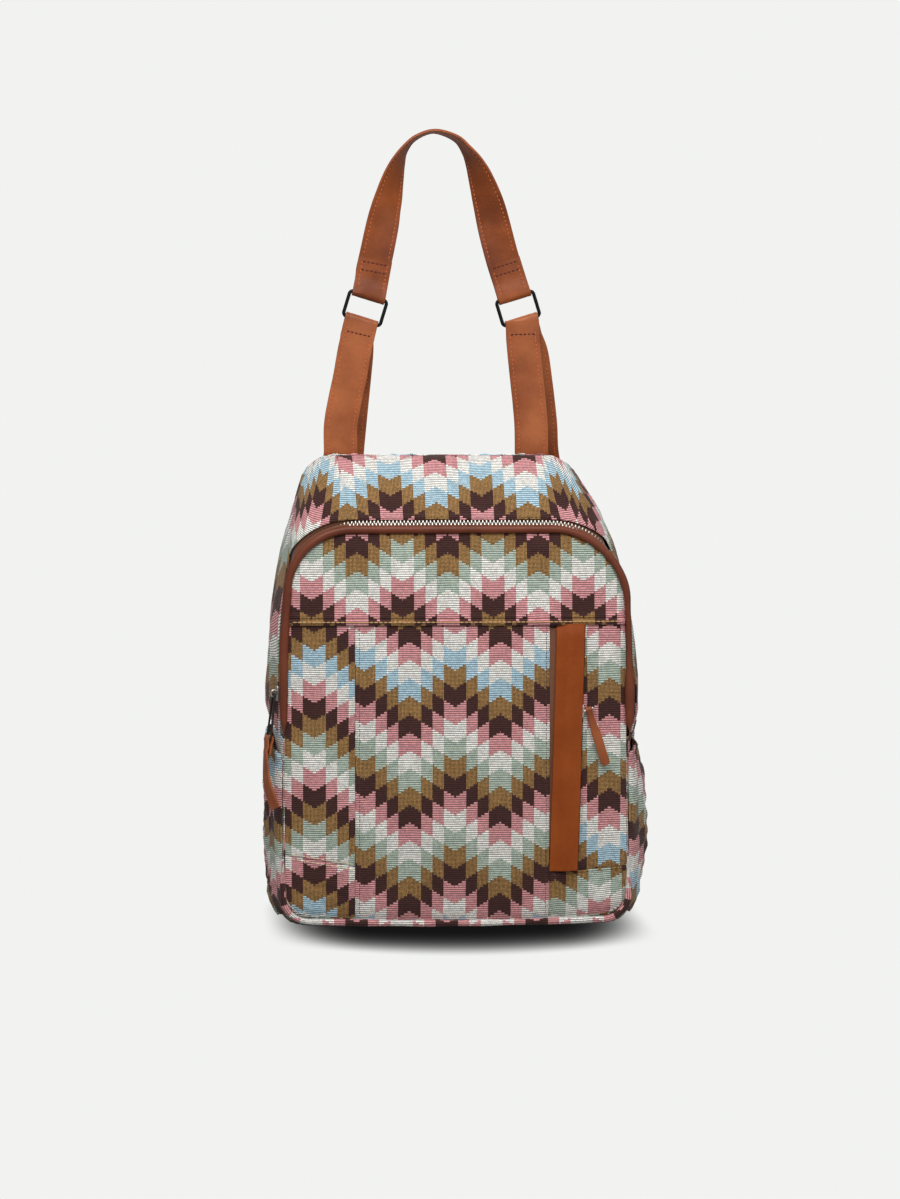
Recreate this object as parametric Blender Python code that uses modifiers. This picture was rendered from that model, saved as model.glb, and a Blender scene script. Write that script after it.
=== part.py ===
"""Woven zigzag backpack with a leather handle that joins the two shoulder straps.

Metres, +Z up. The bag stands on its base at the origin, and its front faces -Y.
"""
import math

import bpy
import bmesh
from mathutils import Matrix, Vector

# Cloth, leather and clearances
CLEARANCE = 0.0003
CLOTH = 0.0012
LINING = 0.0005
STRAP_THICKNESS = 0.0018
STRAP_WIDTH = 0.0245

# Front outline: where the front panel meets the piping
FRONT_HALF_WIDTH = 0.128
FRONT_TOP_HALF_LEFT = 0.1218
FRONT_TOP_HALF_RIGHT = 0.1180
FRONT_SHOULDER_HALF_RIGHT = 0.1218
FRONT_BOTTOM_HALF_RIGHT = 0.1228
FRONT_TOP = 0.288
FRONT_BOTTOM = 0.004
FRONT_TOP_RADIUS_LEFT = 0.044
FRONT_TOP_RADIUS_RIGHT = 0.0515
FRONT_BOTTOM_RADIUS = 0.018
FRONT_DEPTH = 0.057
FRONT_CROWN = 0.009
FRONT_CORNER_RISE = 0.007
FRONT_RISE_HEIGHT = 0.060

# Back outline: where the gusset meets the back panel
BACK_HALF_WIDTH = 0.126
BACK_TOP_HALF_WIDTH = 0.0945
BACK_SHOULDER_HALF_WIDTH = 0.1222
BACK_TOP = 0.342
BACK_BOTTOM = 0.006
BACK_TOP_RADIUS = 0.018
BACK_BOTTOM_RADIUS = 0.022
BACK_DEPTH = 0.046
BACK_LEAN = 0.062
BACK_CROWN = 0.003
BACK_SHIFT = -0.013

# Where the sides start to lean in, and how softly
FRONT_SHOULDER = 0.205
FRONT_SHOULDER_CUT = 0.015
BACK_SHOULDER = 0.262
BACK_SHOULDER_CUT = 0.045

# The gusset swells between front and back: one value at each station of the half outline
GUSSET_EASE_UP = 1.7
GUSSET_EASE_IN = 1.8
GUSSET_SWELL = (0.0, 0.0, 0.003, 0.0045, 0.0055, 0.0065, 0.016, 0.020)

# Piping and main zip, measured back from the front outline
PIPING_RADIUS = 0.0025
PIPING_ROOM = 0.0006
ZIP_END = 0.137
PIPING_TAPER = 0.010
ZIP_TAPE_REVEAL = 0.0006
ZIP_TEETH_WIDTH = 0.0056
ZIP_TEETH_THICKNESS = 0.0024
ZIP_TAPE_THICKNESS = 0.0007
ZIP_TAPE_REAR_WIDTH = 0.0050
ZIP_GAP = 0.0007
TAPE_ROOM = 0.0011
TAPE_SLACK = 0.0004
REAR_TAPE_SLACK = 0.0005
GUSSET_REVEAL = 0.0008
FRONT_SEAM = 0.0018
BACK_SEAM = 0.0030

# Seams of the front panel
YOKE_HEM = 0.217
LEFT_SEAM = -0.076
RIGHT_SEAM = 0.0645
LEFT_CORNER_SEAM = (0.0518, 0.0446)
RIGHT_CORNER_SEAM = (0.0389, 0.0418)
CORNER_SEAM_REACH = 0.125

# Leather strip over the pocket zip: its left edge at the hem and at its foot
STRIP_WIDTH = 0.0203
STRIP_TOP_LEFT = 0.0695
STRIP_FOOT_LEFT = 0.0644
STRIP_THICKNESS = 0.0016
STRIP_STANDOFF = 0.0031

# Pocket zip
POCKET_TEETH_INSET = 0.0025
POCKET_TEETH_WIDTH = 0.0050
POCKET_TEETH_THICKNESS = 0.0013
POCKET_TAPE_THICKNESS = 0.0008
POCKET_TAPE_DROP = 0.0004
POCKET_ZIP_EDGE = 0.0008

# Side pockets
POCKET_TOP = 0.134
POCKET_SEAM = 0.003
POCKET_STANDOFF_LEFT = 0.0062
POCKET_STANDOFF_RIGHT = 0.0070

# Base seam, at this station of the outline
BASE_SEAM = 5.5

# Inside
FOAM = 0.004
FOAM_INSET = 0.012
BOARD = 0.002
BOARD_HALF_WIDTH = 0.104
BOARD_FRONT = -0.038
BOARD_BACK = 0.031
BOARD_CORNER = 0.020
POUCH_LEFT = -0.070
POUCH_RIGHT = 0.081
POUCH_BOTTOM = 0.030
POUCH_TOP = 0.210
POUCH_ROOM = 0.0010
TRAY_FRONT = 0.016
FRONT_LINING_INSET = 0.012

# Rings, shoulder straps and handle
RING_WIRE = 0.0013
RING_SIDE_ROOM = 0.0005
RING_PITCH = 0.0192
RING_CORNER = 0.0028
RING_TILT = math.radians(17)
RING_X = 0.0588
RING_Y = -0.010
RING_Z = 0.4389
RING_SWING_ROOM = 0.00125
HANDLE_TAB = 0.0265
STRAP_SHIFT = -0.010

# Lower ends of the straps
STRAP_END_X = 0.103
STRAP_END_Z = 0.012
PATCH_WIDTH = 0.031
PATCH_HEIGHT = 0.020
PATCH_THICKNESS = 0.0015

# Main zip slider, link and tab
SLIDER_Z = 0.170
SLIDER_LENGTH = 0.011
SLIDER_WIDTH = 0.0074
SLIDER_THICKNESS = 0.0018
BAIL_RADIUS = 0.0023
BAIL_WIRE = 0.0007
LINK_WIRE = 0.00075
LINK_LENGTH = 0.033
LINK_TOP_HALF = 0.0030
LINK_FOOT_HALF = 0.0056
LINK_LEAN = math.radians(6.8)
TAB_WIDTH = 0.009
TAB_THICKNESS = 0.0018

# Pocket zip slider and tab
PULL_Z = 0.157
PULL_SLIDER_LENGTH = 0.010
PULL_SLIDER_WIDTH = 0.008
PULL_SLIDER_THICKNESS = 0.0013
PULL_TILT = math.radians(17.4)
PULL_BAR = 0.0009
PULL_BAR_LIFT = 0.0028
PULL_BAR_LENGTH = 0.0068
PULL_BAR_ROOT = 0.0008
PULL_HEAD = 0.0017
PULL_LOOP_WIDTH = 0.0046
PULL_TAB_WIDTH = 0.0066
PULL_TAB_THICKNESS = 0.0011
PULL_TAB_LENGTH = 0.042

# Colour, roughness and metallic value of each finish
FINISHES = {
    "cloth": ((0.55, 0.42, 0.38), 0.9, 0.0),
    "lining": ((0.20, 0.17, 0.15), 0.85, 0.0),
    "foam": ((0.60, 0.60, 0.58), 0.9, 0.0),
    "board": ((0.25, 0.22, 0.20), 0.7, 0.0),
    "tan leather": ((0.36, 0.13, 0.045), 0.5, 0.0),
    "brown leather": ((0.16, 0.045, 0.020), 0.5, 0.0),
    "tape": ((0.30, 0.14, 0.08), 0.8, 0.0),
    "black metal": ((0.012, 0.013, 0.014), 0.4, 0.8),
    "silver": ((0.75, 0.73, 0.70), 0.3, 1.0),
}

STATIONS = 14
ZIP_TAPE_DROP = CLOTH + CLEARANCE + TAPE_SLACK
TAPE_START = PIPING_RADIUS + TAPE_ROOM
TEETH_START = TAPE_START + ZIP_TAPE_REVEAL + ZIP_GAP
TEETH_END = TEETH_START + ZIP_TEETH_WIDTH
TEETH_LIFT = -0.0002
GUSSET_START = TEETH_END + ZIP_GAP + GUSSET_REVEAL
LINING_DROP = CLOTH + CLEARANCE + BOARD + CLEARANCE
BACK_STACK = CLOTH + CLEARANCE + FOAM + CLEARANCE


class Outline:
    """Closed outline in X and Z.

    Station 0 is the top centre and 7 the bottom centre; 7 to 14 is the left side, upwards.
    Each corner is (x, z, cut): the rounding starts and ends that far from the corner.
    """

    def __init__(self, top, bottom, right_corners, left_corners):
        self.right = self.half(top, bottom, right_corners)
        self.left = self.half(top, bottom, left_corners)

    def half(self, top, bottom, corners):
        """The marks between straight and round stretches, the corners and their roundness."""
        vertices = [Vector((x, z)) for x, z, cut in corners]
        ends = [Vector((0, top))] + vertices + [Vector((0, bottom))]
        marks = [ends[0]]
        weights = []
        for number, (x, z, cut) in enumerate(corners, start=1):
            before = (ends[number] - ends[number - 1]).normalized()
            after = (ends[number + 1] - ends[number]).normalized()
            marks.append(ends[number] - before * cut)
            marks.append(ends[number] + after * cut)
            weights.append(math.cos(before.angle(after) / 2))
        marks.append(ends[-1])
        return marks, vertices, weights

    def point(self, station):
        station %= STATIONS
        on_right = station <= STATIONS / 2
        marks, vertices, weights = self.right if on_right else self.left
        half = station if on_right else STATIONS - station
        segment = min(int(half), len(marks) - 2)
        part = half - segment
        start = marks[segment]
        end = marks[segment + 1]
        if segment % 2 == 0:
            found = start.lerp(end, part)
        else:
            corner = vertices[segment // 2]
            weight = weights[segment // 2]
            shares = ((1 - part) ** 2, 2 * part * (1 - part) * weight, part ** 2)
            found = (start * shares[0] + corner * shares[1] + end * shares[2]) / sum(shares)
        return Vector((found.x if on_right else -found.x, found.y))

    def normal(self, station):
        step = 0.01
        along = self.point(station + step) - self.point(station - step)
        return Vector((-along.y, along.x)).normalized()

    def inset(self, station, distance):
        return self.point(station) - self.normal(station) * distance

    def station_at(self, z, distance=0.0, side=1):
        """Station on one side where the inset outline passes height z."""
        high, low = 1.0, 6.0
        for attempt in range(40):
            middle = (high + low) / 2
            if self.inset(side * middle, distance).y > z:
                high = middle
            else:
                low = middle
        return (high + low) / 2

    def width_at(self, z, distance=0.0, side=1):
        """Distance from X = 0 to the inset outline on one side, at height z."""
        return abs(self.inset(side * self.station_at(z, distance, side), distance).x)


def front_corners(top_half_width, top_radius, shoulder_half_width, bottom_half_width):
    return ((top_half_width, FRONT_TOP, top_radius),
            (shoulder_half_width, FRONT_SHOULDER, FRONT_SHOULDER_CUT),
            (bottom_half_width, FRONT_BOTTOM, FRONT_BOTTOM_RADIUS))


BACK_CORNERS = (
    (BACK_TOP_HALF_WIDTH, BACK_TOP, BACK_TOP_RADIUS),
    (BACK_SHOULDER_HALF_WIDTH, BACK_SHOULDER, BACK_SHOULDER_CUT),
    (BACK_HALF_WIDTH, BACK_BOTTOM, BACK_BOTTOM_RADIUS),
)
FRONT = Outline(
    FRONT_TOP, FRONT_BOTTOM,
    front_corners(FRONT_TOP_HALF_RIGHT, FRONT_TOP_RADIUS_RIGHT, FRONT_SHOULDER_HALF_RIGHT, FRONT_BOTTOM_HALF_RIGHT),
    front_corners(FRONT_TOP_HALF_LEFT, FRONT_TOP_RADIUS_LEFT, FRONT_HALF_WIDTH, FRONT_HALF_WIDTH))
BACK = Outline(BACK_TOP, BACK_BOTTOM, BACK_CORNERS, BACK_CORNERS)
ZIP_STATION = FRONT.station_at(ZIP_END)


def crown(x, z, half_width, top, bottom, height):
    """Height of a panel that is full in the middle and flat at its edges."""
    across = min(abs(x) / half_width, 1.0)
    upward = min(abs(2 * z - top - bottom) / (top - bottom), 1.0)
    return height * (1 - across ** 2.4) * (1 - upward ** 2.6)


def front_surface(x, z, lift=0.0):
    out = crown(x, z, FRONT_HALF_WIDTH, FRONT_TOP, FRONT_BOTTOM, FRONT_CROWN) + lift
    near_base = max(0.0, 1 - (z - FRONT_BOTTOM) / FRONT_RISE_HEIGHT)
    rise = FRONT_CORNER_RISE * (x / FRONT_HALF_WIDTH) ** 2 * near_base
    return Vector((x, -FRONT_DEPTH - out, z + rise))


def back_plane(z):
    return BACK_DEPTH - BACK_LEAN * z / BACK_TOP


def back_shift(z):
    """The bag's top sits a little to the left of its base."""
    return BACK_SHIFT * max(z / BACK_TOP, 0.0) ** 2


def back_surface(x, z, lift=0.0):
    out = crown(x, z, BACK_HALF_WIDTH, BACK_TOP, BACK_BOTTOM, BACK_CROWN) + lift
    return Vector((x + back_shift(z), back_plane(z) + out, z))


def swell(station):
    half = station % STATIONS
    half = min(half, STATIONS - half)
    first = min(int(half), len(GUSSET_SWELL) - 2)
    part = half - first
    return GUSSET_SWELL[first] * (1 - part) + GUSSET_SWELL[first + 1] * part


def gusset(station, depth):
    """Point of the band between the outlines; depth is 0 at the front and 1 at the back."""
    start = front_surface(*FRONT.point(station))
    end = back_surface(*BACK.point(station))
    upward = 1 - (1 - depth) ** GUSSET_EASE_UP
    inward = 1 - (1 - depth) ** GUSSET_EASE_IN
    out = FRONT.normal(station) * swell(station) * 4 * depth * (1 - depth)
    x = start.x + (end.x - start.x) * inward + out.x
    y = start.y + (end.y - start.y) * depth
    z = start.z + (end.z - start.z) * upward + out.y
    return Vector((x, y, max(z, 0.0)))


def gusset_normal(station, depth):
    step = 0.01
    along = gusset(station + step, depth) - gusset(station - step, depth)
    back = gusset(station, min(depth + step, 1)) - gusset(station, max(depth - step, 0))
    return along.cross(back).normalized()


def seam_slant(station):
    """Sine of the angle between the front seam and the band's own direction."""
    step = 0.01
    seam = gusset(station + step, 0) - gusset(station - step, 0)
    along = gusset(station, step) - gusset(station, 0)
    return seam.normalized().cross(along.normalized()).length


def depth_at(station, distance):
    """Depth at a distance over the cloth from the front seam, or from the back one if negative."""
    samples = 60
    marks = [0.0]
    previous = gusset(station, 0)
    for number in range(1, samples + 1):
        current = gusset(station, number / samples)
        marks.append(marks[-1] + (current - previous).length)
        previous = current
    wanted = distance / seam_slant(station) if distance >= 0 else marks[-1] + distance
    for number in range(samples):
        if marks[number + 1] >= wanted:
            part = (wanted - marks[number]) / (marks[number + 1] - marks[number])
            return (number + part) / samples
    return 1.0


def spread(start, end, count):
    """count + 1 evenly spaced values from start to end."""
    return [start + (end - start) * number / count for number in range(count + 1)]


def smooth(points, steps):
    """Points of a smooth curve through tuples of any length, steps to each stretch."""
    result = []
    last = len(points) - 1
    for number in range(last):
        p0 = points[max(number - 1, 0)]
        p1 = points[number]
        p2 = points[number + 1]
        p3 = points[min(number + 2, last)]
        for step in range(steps):
            t = step / steps
            result.append(tuple(
                0.5 * (2 * b + (c - a) * t + (2 * a - 5 * b + 4 * c - d) * t ** 2
                       + (3 * b - a - 3 * c + d) * t ** 3)
                for a, b, c, d in zip(p0, p1, p2, p3)))
    result.append(tuple(points[-1]))
    return result


# Scene, collections and materials
for old in list(bpy.data.objects):
    bpy.data.objects.remove(old, do_unlink=True)

backpack = bpy.data.collections.new("backpack")
bpy.context.scene.collection.children.link(backpack)


def finish_material(name, finish):
    color, roughness, metallic = FINISHES[finish]
    material = bpy.data.materials.new(name)
    material.use_nodes = True
    shader = material.node_tree.nodes["Principled BSDF"]
    shader.inputs["Base Color"].default_value = (*color, 1.0)
    shader.inputs["Roughness"].default_value = roughness
    shader.inputs["Metallic"].default_value = metallic
    return material


def link_part(part, finish, origin=None, parent=None):
    """Name the material, and move the object's own origin to its joint."""
    part.data.materials.clear()
    part.data.materials.append(finish_material(part.name, finish))
    for collection in list(part.users_collection):
        collection.objects.unlink(part)
    backpack.objects.link(part)
    if origin is not None:
        part.data.transform(Matrix.Translation(-origin))
        part.location = origin
    if parent is not None:
        part.parent = parent
        part.location = part.location - parent.location
    return part


def mesh_part(name, points, faces, finish, origin=None, parent=None):
    mesh = bpy.data.meshes.new(name)
    mesh.from_pydata([tuple(point) for point in points], [], faces)
    mesh.update()
    mesh.shade_smooth()
    part = bpy.data.objects.new(name, mesh)
    return link_part(part, finish, origin, parent)


def sheet(name, rows, thickness, finish, closed=False, cap=None, offset=-1.0, even=True,
          origin=None, parent=None):
    """A grid of points as one sheet of cloth or leather; rows run crosswise to columns."""
    width = len(rows[0])
    points = [point for row in rows for point in row]
    faces = []
    for row in range(len(rows) - 1):
        for column in range(width if closed else width - 1):
            across = (column + 1) % width
            start = row * width
            faces.append((start + column, start + across, start + width + across, start + width + column))
    if cap is not None:
        faces += cap((len(rows) - 1) * width, width)
    part = mesh_part(name, points, faces, finish, origin, parent)
    wall = part.modifiers.new("wall", "SOLIDIFY")
    wall.thickness = thickness
    wall.offset = offset
    wall.use_even_offset = even
    return part


def gusset_sheet(name, stations, start, end, rows, thickness, finish, lift=0.0, crowd=1.0):
    """Band of cloth on the gusset, from one distance to another, along the given stations.

    A crowd above 1 brings the rows closer together near the front.
    """
    grid = []
    spans = [(depth_at(s, start), depth_at(s, end)) for s in stations]
    for part in (number / rows for number in range(rows + 1)):
        part = part ** crowd
        row = []
        for number, station in enumerate(stations):
            first, last = spans[number]
            depth = first + (last - first) * part
            along = number / (len(stations) - 1)
            height = lift(along, part) if callable(lift) else lift
            row.append(gusset(station, depth) + gusset_normal(station, depth) * height)
        grid.append(row)
    return sheet(name, grid, thickness, finish)


def panel_sheet(name, surface, left, right, bottom, top, columns, rows, thickness, finish, lift=0.0):
    """Panel between seams: left and right give x at a height, bottom and top are (left z, right z)."""
    grid = []
    for up in rows:
        row = []
        for across in spread(0, 1, columns):
            low = bottom[0] + (bottom[1] - bottom[0]) * across
            high = top[0] + (top[1] - top[0]) * across
            z = low + (high - low) * up
            x = left(z) + (right(z) - left(z)) * across
            height = lift(across) if callable(lift) else lift
            row.append(surface(x, z, height))
        grid.append(row)
    return sheet(name, grid, thickness, finish)


def round_rows(count, round_bottom=False, round_top=False):
    """Row fractions that crowd towards a rounded end."""
    rows = spread(0, 1, count)
    if round_top and round_bottom:
        return [(1 - math.cos(math.pi * part)) / 2 for part in rows]
    if round_top:
        return [math.sin(math.pi / 2 * part) for part in rows]
    if round_bottom:
        return [1 - math.cos(math.pi / 2 * part) for part in rows]
    return rows


# Front panel
def seam_inset(z):
    """Room between the outline and the front panel: the piping's above the zip's ends."""
    blend = min(max((z - ZIP_END + PIPING_TAPER * 2) / PIPING_TAPER, 0.0), 1.0)
    return CLEARANCE + (PIPING_RADIUS + PIPING_ROOM - CLEARANCE) * blend


def front_edge(z, side):
    inset = seam_inset(z)
    return side * FRONT.width_at(max(z, FRONT_BOTTOM + inset), inset, side)


def front_right(z):
    return front_edge(z, 1)


def front_left(z):
    return front_edge(z, -1)


def right_corner_seam(x):
    """Height of the seam between the right panel, its zip and the right corner."""
    inner, outer = RIGHT_CORNER_SEAM
    return inner + (outer - inner) * (x - RIGHT_SEAM) / (CORNER_SEAM_REACH - RIGHT_SEAM)


def left_corner_seam(x):
    outer, inner = LEFT_CORNER_SEAM
    return inner + (outer - inner) * (LEFT_SEAM - x) / (CORNER_SEAM_REACH + LEFT_SEAM)


def strip_left(z):
    part = (YOKE_HEM - z) / (YOKE_HEM - RIGHT_CORNER_SEAM[0])
    return STRIP_TOP_LEFT + (STRIP_FOOT_LEFT - STRIP_TOP_LEFT) * part


def strip_right(z):
    return strip_left(z) + STRIP_WIDTH


def fixed(x):
    return lambda z: x


def left_seam(gap):
    return [left_corner_seam(x) + gap for x in (-FRONT_HALF_WIDTH, LEFT_SEAM)]


def right_seam(left_x, right_x, gap):
    return [right_corner_seam(x) + gap for x in (left_x, right_x)]


HALF_GAP = CLEARANCE / 2
zip_edge = strip_right(RIGHT_CORNER_SEAM[0]) + POCKET_ZIP_EDGE
YOKE_TOP = FRONT_TOP - PIPING_RADIUS - PIPING_ROOM
HEM_BELOW = YOKE_HEM - HALF_GAP
HEM_ABOVE = YOKE_HEM + HALF_GAP
PANEL_BOTTOM = FRONT_BOTTOM + CLEARANCE

panel_sheet("front_yoke", front_surface, front_left, front_right, (HEM_ABOVE, HEM_ABOVE),
            (YOKE_TOP, YOKE_TOP), 14, round_rows(7, round_top=True), CLOTH, "cloth")
panel_sheet("front_center_panel", front_surface, fixed(LEFT_SEAM + HALF_GAP), fixed(RIGHT_SEAM - HALF_GAP),
            (PANEL_BOTTOM, PANEL_BOTTOM), (HEM_BELOW, HEM_BELOW), 8, round_rows(12), CLOTH, "cloth")
panel_sheet("front_left_panel", front_surface, front_left, fixed(LEFT_SEAM - HALF_GAP),
            left_seam(HALF_GAP), (HEM_BELOW, HEM_BELOW), 3, round_rows(16), CLOTH, "cloth")
panel_sheet("front_left_corner", front_surface, front_left, fixed(LEFT_SEAM - HALF_GAP),
            (PANEL_BOTTOM, PANEL_BOTTOM), left_seam(-HALF_GAP), 4,
            round_rows(6, round_bottom=True), CLOTH, "cloth")
panel_sheet("front_right_panel", front_surface, lambda z: strip_right(z) + POCKET_ZIP_EDGE, front_right,
            right_seam(zip_edge, FRONT_HALF_WIDTH, HALF_GAP), (HEM_BELOW, HEM_BELOW), 3, round_rows(16),
            CLOTH, "cloth")
panel_sheet("front_right_corner", front_surface, fixed(RIGHT_SEAM + HALF_GAP), front_right,
            (PANEL_BOTTOM, PANEL_BOTTOM), right_seam(RIGHT_SEAM, FRONT_HALF_WIDTH, -HALF_GAP), 5,
            round_rows(6, round_bottom=True), CLOTH, "cloth")

# Pocket zip and the leather strip over it
zip_foot = right_seam(RIGHT_SEAM, zip_edge, HALF_GAP)
zip_top = (HEM_BELOW, HEM_BELOW)
panel_sheet("pocket_zip_tape", front_surface, fixed(RIGHT_SEAM + HALF_GAP),
            lambda z: strip_right(z) + POCKET_ZIP_EDGE - CLEARANCE, zip_foot, zip_top, 2,
            round_rows(10), POCKET_TAPE_THICKNESS, "tape", -POCKET_TAPE_DROP)


def teeth_middle(z):
    return strip_right(z) - POCKET_TEETH_INSET


TEETH_TOP_LIFT = POCKET_TEETH_THICKNESS + CLEARANCE - POCKET_TAPE_DROP
panel_sheet("pocket_zip_teeth", front_surface, lambda z: teeth_middle(z) - POCKET_TEETH_WIDTH / 2,
            lambda z: teeth_middle(z) + POCKET_TEETH_WIDTH / 2, (zip_foot[1], zip_foot[1]), zip_top, 1,
            round_rows(10), POCKET_TEETH_THICKNESS, "silver", TEETH_TOP_LIFT)


def strip_lift(across):
    """The strip is sewn flat along its left edge and stands off over the zip."""
    rise = min(max((across - 0.12) / 0.33, 0.0), 1.0)
    return CLEARANCE + STRIP_STANDOFF * rise + STRIP_THICKNESS


panel_sheet("pocket_cover_strip", front_surface, strip_left, strip_right, (zip_foot[1], zip_foot[1]),
            zip_top, 6, round_rows(10), STRIP_THICKNESS, "tan leather", strip_lift)

# Back panel with its foam
back_edge = [BACK_BOTTOM + CLEARANCE, BACK_TOP - CLEARANCE]
panel_sheet("back_panel", back_surface, lambda z: BACK.width_at(z, CLEARANCE),
            lambda z: -BACK.width_at(z, CLEARANCE), (back_edge[0], back_edge[0]),
            (back_edge[1], back_edge[1]), 10, round_rows(16, True, True), CLOTH, "cloth")
panel_sheet("back_foam", back_surface, lambda z: BACK.width_at(z, FOAM_INSET),
            lambda z: -BACK.width_at(z, FOAM_INSET), (BACK_BOTTOM + FOAM_INSET,) * 2,
            (BACK_TOP - FOAM_INSET,) * 2, 8, round_rows(8, True, True), FOAM, "foam",
            -CLOTH - CLEARANCE)

# Gusset, sides and base
STATION_GAP = 0.003
PIPING_END_GAP = 0.012
BASE_GAP = 0.008
right_stations = [*spread(0, 1, 3), *spread(1, 2, 16)[1:], 3, 3.5, 4,
                  *spread(4, ZIP_STATION - STATION_GAP, 2)[1:]]
top_stations = [-station for station in right_stations[:0:-1]] + right_stations
gusset_sheet("top_gusset", top_stations, GUSSET_START, -BACK_SEAM, 7, CLOTH, "cloth", crowd=1.5)
base_stations = spread(BASE_SEAM + BASE_GAP, STATIONS - BASE_SEAM - BASE_GAP, 16)
gusset_sheet("base_panel", base_stations, FRONT_SEAM, -BACK_SEAM, 10, CLOTH, "cloth")
side_stations = spread(ZIP_STATION + STATION_GAP, BASE_SEAM - BASE_GAP, 7)
pocket_stations = spread(FRONT.station_at(POCKET_TOP), BASE_SEAM - BASE_GAP, 7)


def pocket_stand(downward, across, standoff):
    """Side pocket: sewn down at its sides and foot, standing off in the middle of its mouth."""
    stand = standoff * math.sin(math.pi * across) ** 0.7 * (1 - downward ** 2.2)
    return 2 * CLEARANCE + CLOTH + stand


def pocket_lift_right(downward, across):
    return pocket_stand(downward, across, POCKET_STANDOFF_RIGHT)


def pocket_lift_left(upward, across):
    return pocket_stand(1 - upward, across, POCKET_STANDOFF_LEFT)


def mirrored(stations):
    return [STATIONS - station for station in reversed(stations)]


gusset_sheet("side_panel_right", side_stations, FRONT_SEAM, -BACK_SEAM, 6, CLOTH, "cloth")
gusset_sheet("side_panel_left", mirrored(side_stations), FRONT_SEAM, -BACK_SEAM, 6, CLOTH, "cloth")
gusset_sheet("side_pocket_right", pocket_stations, POCKET_SEAM, -POCKET_SEAM, 8, CLOTH, "cloth",
             pocket_lift_right)
gusset_sheet("side_pocket_left", mirrored(pocket_stations), POCKET_SEAM, -POCKET_SEAM, 8, CLOTH, "cloth",
             pocket_lift_left)

# Main zip
gusset_sheet("main_zip_tape_front", top_stations, TAPE_START, TEETH_START - ZIP_GAP, 1,
             ZIP_TAPE_THICKNESS, "tape", -ZIP_TAPE_DROP)
gusset_sheet("main_zip_teeth", top_stations, TEETH_START, TEETH_END, 1, ZIP_TEETH_THICKNESS, "silver",
             TEETH_LIFT)
gusset_sheet("main_zip_tape_rear", top_stations, TEETH_END + ZIP_GAP,
             TEETH_END + ZIP_GAP + ZIP_TAPE_REAR_WIDTH, 2, ZIP_TAPE_THICKNESS, "tape",
             -ZIP_TAPE_DROP - REAR_TAPE_SLACK)


def wire(name, points, radius, finish, cyclic=False, origin=None, parent=None):
    """Round bar along a list of points."""
    curve = bpy.data.curves.new(name, "CURVE")
    curve.dimensions = "3D"
    curve.bevel_depth = radius
    curve.bevel_resolution = 2
    curve.use_fill_caps = not cyclic
    spline = curve.splines.new("POLY")
    spline.points.add(len(points) - 1)
    for target, point in zip(spline.points, points):
        target.co = (*point, 1.0)
    spline.use_cyclic_u = cyclic
    part = bpy.data.objects.new(name, curve)
    return link_part(part, finish, origin, parent)


piping_end = ZIP_STATION - PIPING_END_GAP
piping_stations = [-piping_end, *top_stations[1:-1], piping_end]
wire("front_piping", [front_surface(*FRONT.point(s)) for s in piping_stations], PIPING_RADIUS,
     "brown leather")


# Lining, pouch and board
def ladder_cap(start, width):
    """Close a symmetric ring of points with cross strips."""
    faces = [(start, start + 1, start + width - 1)]
    for number in range(1, width // 2 - 1):
        faces.append((start + number, start + number + 1, start + width - number - 1,
                      start + width - number))
    faces.append((start + width // 2 - 1, start + width // 2, start + width // 2 + 1))
    return faces


def lining_tray():
    """Lining of the gusset, base and back in one; it is open towards the front."""
    count = 44
    stations = [STATIONS * number / count for number in range(count)]
    starts = [depth_at(station, TRAY_FRONT) for station in stations]
    rows = []
    for part in spread(0, 1, 6):
        row = []
        for station, first in zip(stations, starts):
            depth = first + (1 - first) * part
            point = gusset(station, depth) - gusset_normal(station, depth) * LINING_DROP
            point.y = min(point.y, back_plane(point.z) - BACK_STACK)
            row.append(point)
        rows.append(row)
    return sheet("main_lining", rows, LINING, "lining", closed=True, cap=ladder_cap, even=False)


lining_tray()


def box(name, low, high, finish, corner=0.0):
    """Box between two corners, with its upright edges rounded."""
    centre = [(a + b) / 2 for a, b in zip(low, high)]
    bpy.ops.mesh.primitive_cube_add(size=1, location=centre)
    part = bpy.context.object
    part.name = name
    part.data.transform(Matrix.Diagonal([b - a for a, b in zip(low, high)] + [1.0]))
    if corner:
        shape = bmesh.new()
        shape.from_mesh(part.data)
        upright = [edge for edge in shape.edges
                   if abs((edge.verts[0].co - edge.verts[1].co).normalized().z) > 0.99]
        bmesh.ops.bevel(shape, geom=upright, offset=corner, segments=4, affect="EDGES")
        shape.to_mesh(part.data)
        shape.free()
    return link_part(part, finish)


BOARD_LOW = CLOTH + CLEARANCE
box("base_board", (-BOARD_HALF_WIDTH, BOARD_FRONT, BOARD_LOW),
    (BOARD_HALF_WIDTH, BOARD_BACK, BOARD_LOW + BOARD), "board", BOARD_CORNER)

front_lining_top = FRONT_TOP - FRONT_LINING_INSET
front_lining_bottom = FRONT_BOTTOM + FRONT_LINING_INSET
POUCH_DROP = CLOTH + CLEARANCE
POUCH_DEPTH = 2 * LINING + POUCH_ROOM
panel_sheet("front_lining", front_surface, lambda z: -FRONT.width_at(z, FRONT_LINING_INSET, -1),
            lambda z: FRONT.width_at(z, FRONT_LINING_INSET), (front_lining_bottom, front_lining_bottom),
            (front_lining_top, front_lining_top), 10, round_rows(12, True, True), LINING, "lining",
            -POUCH_DROP - POUCH_DEPTH - CLEARANCE)


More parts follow.
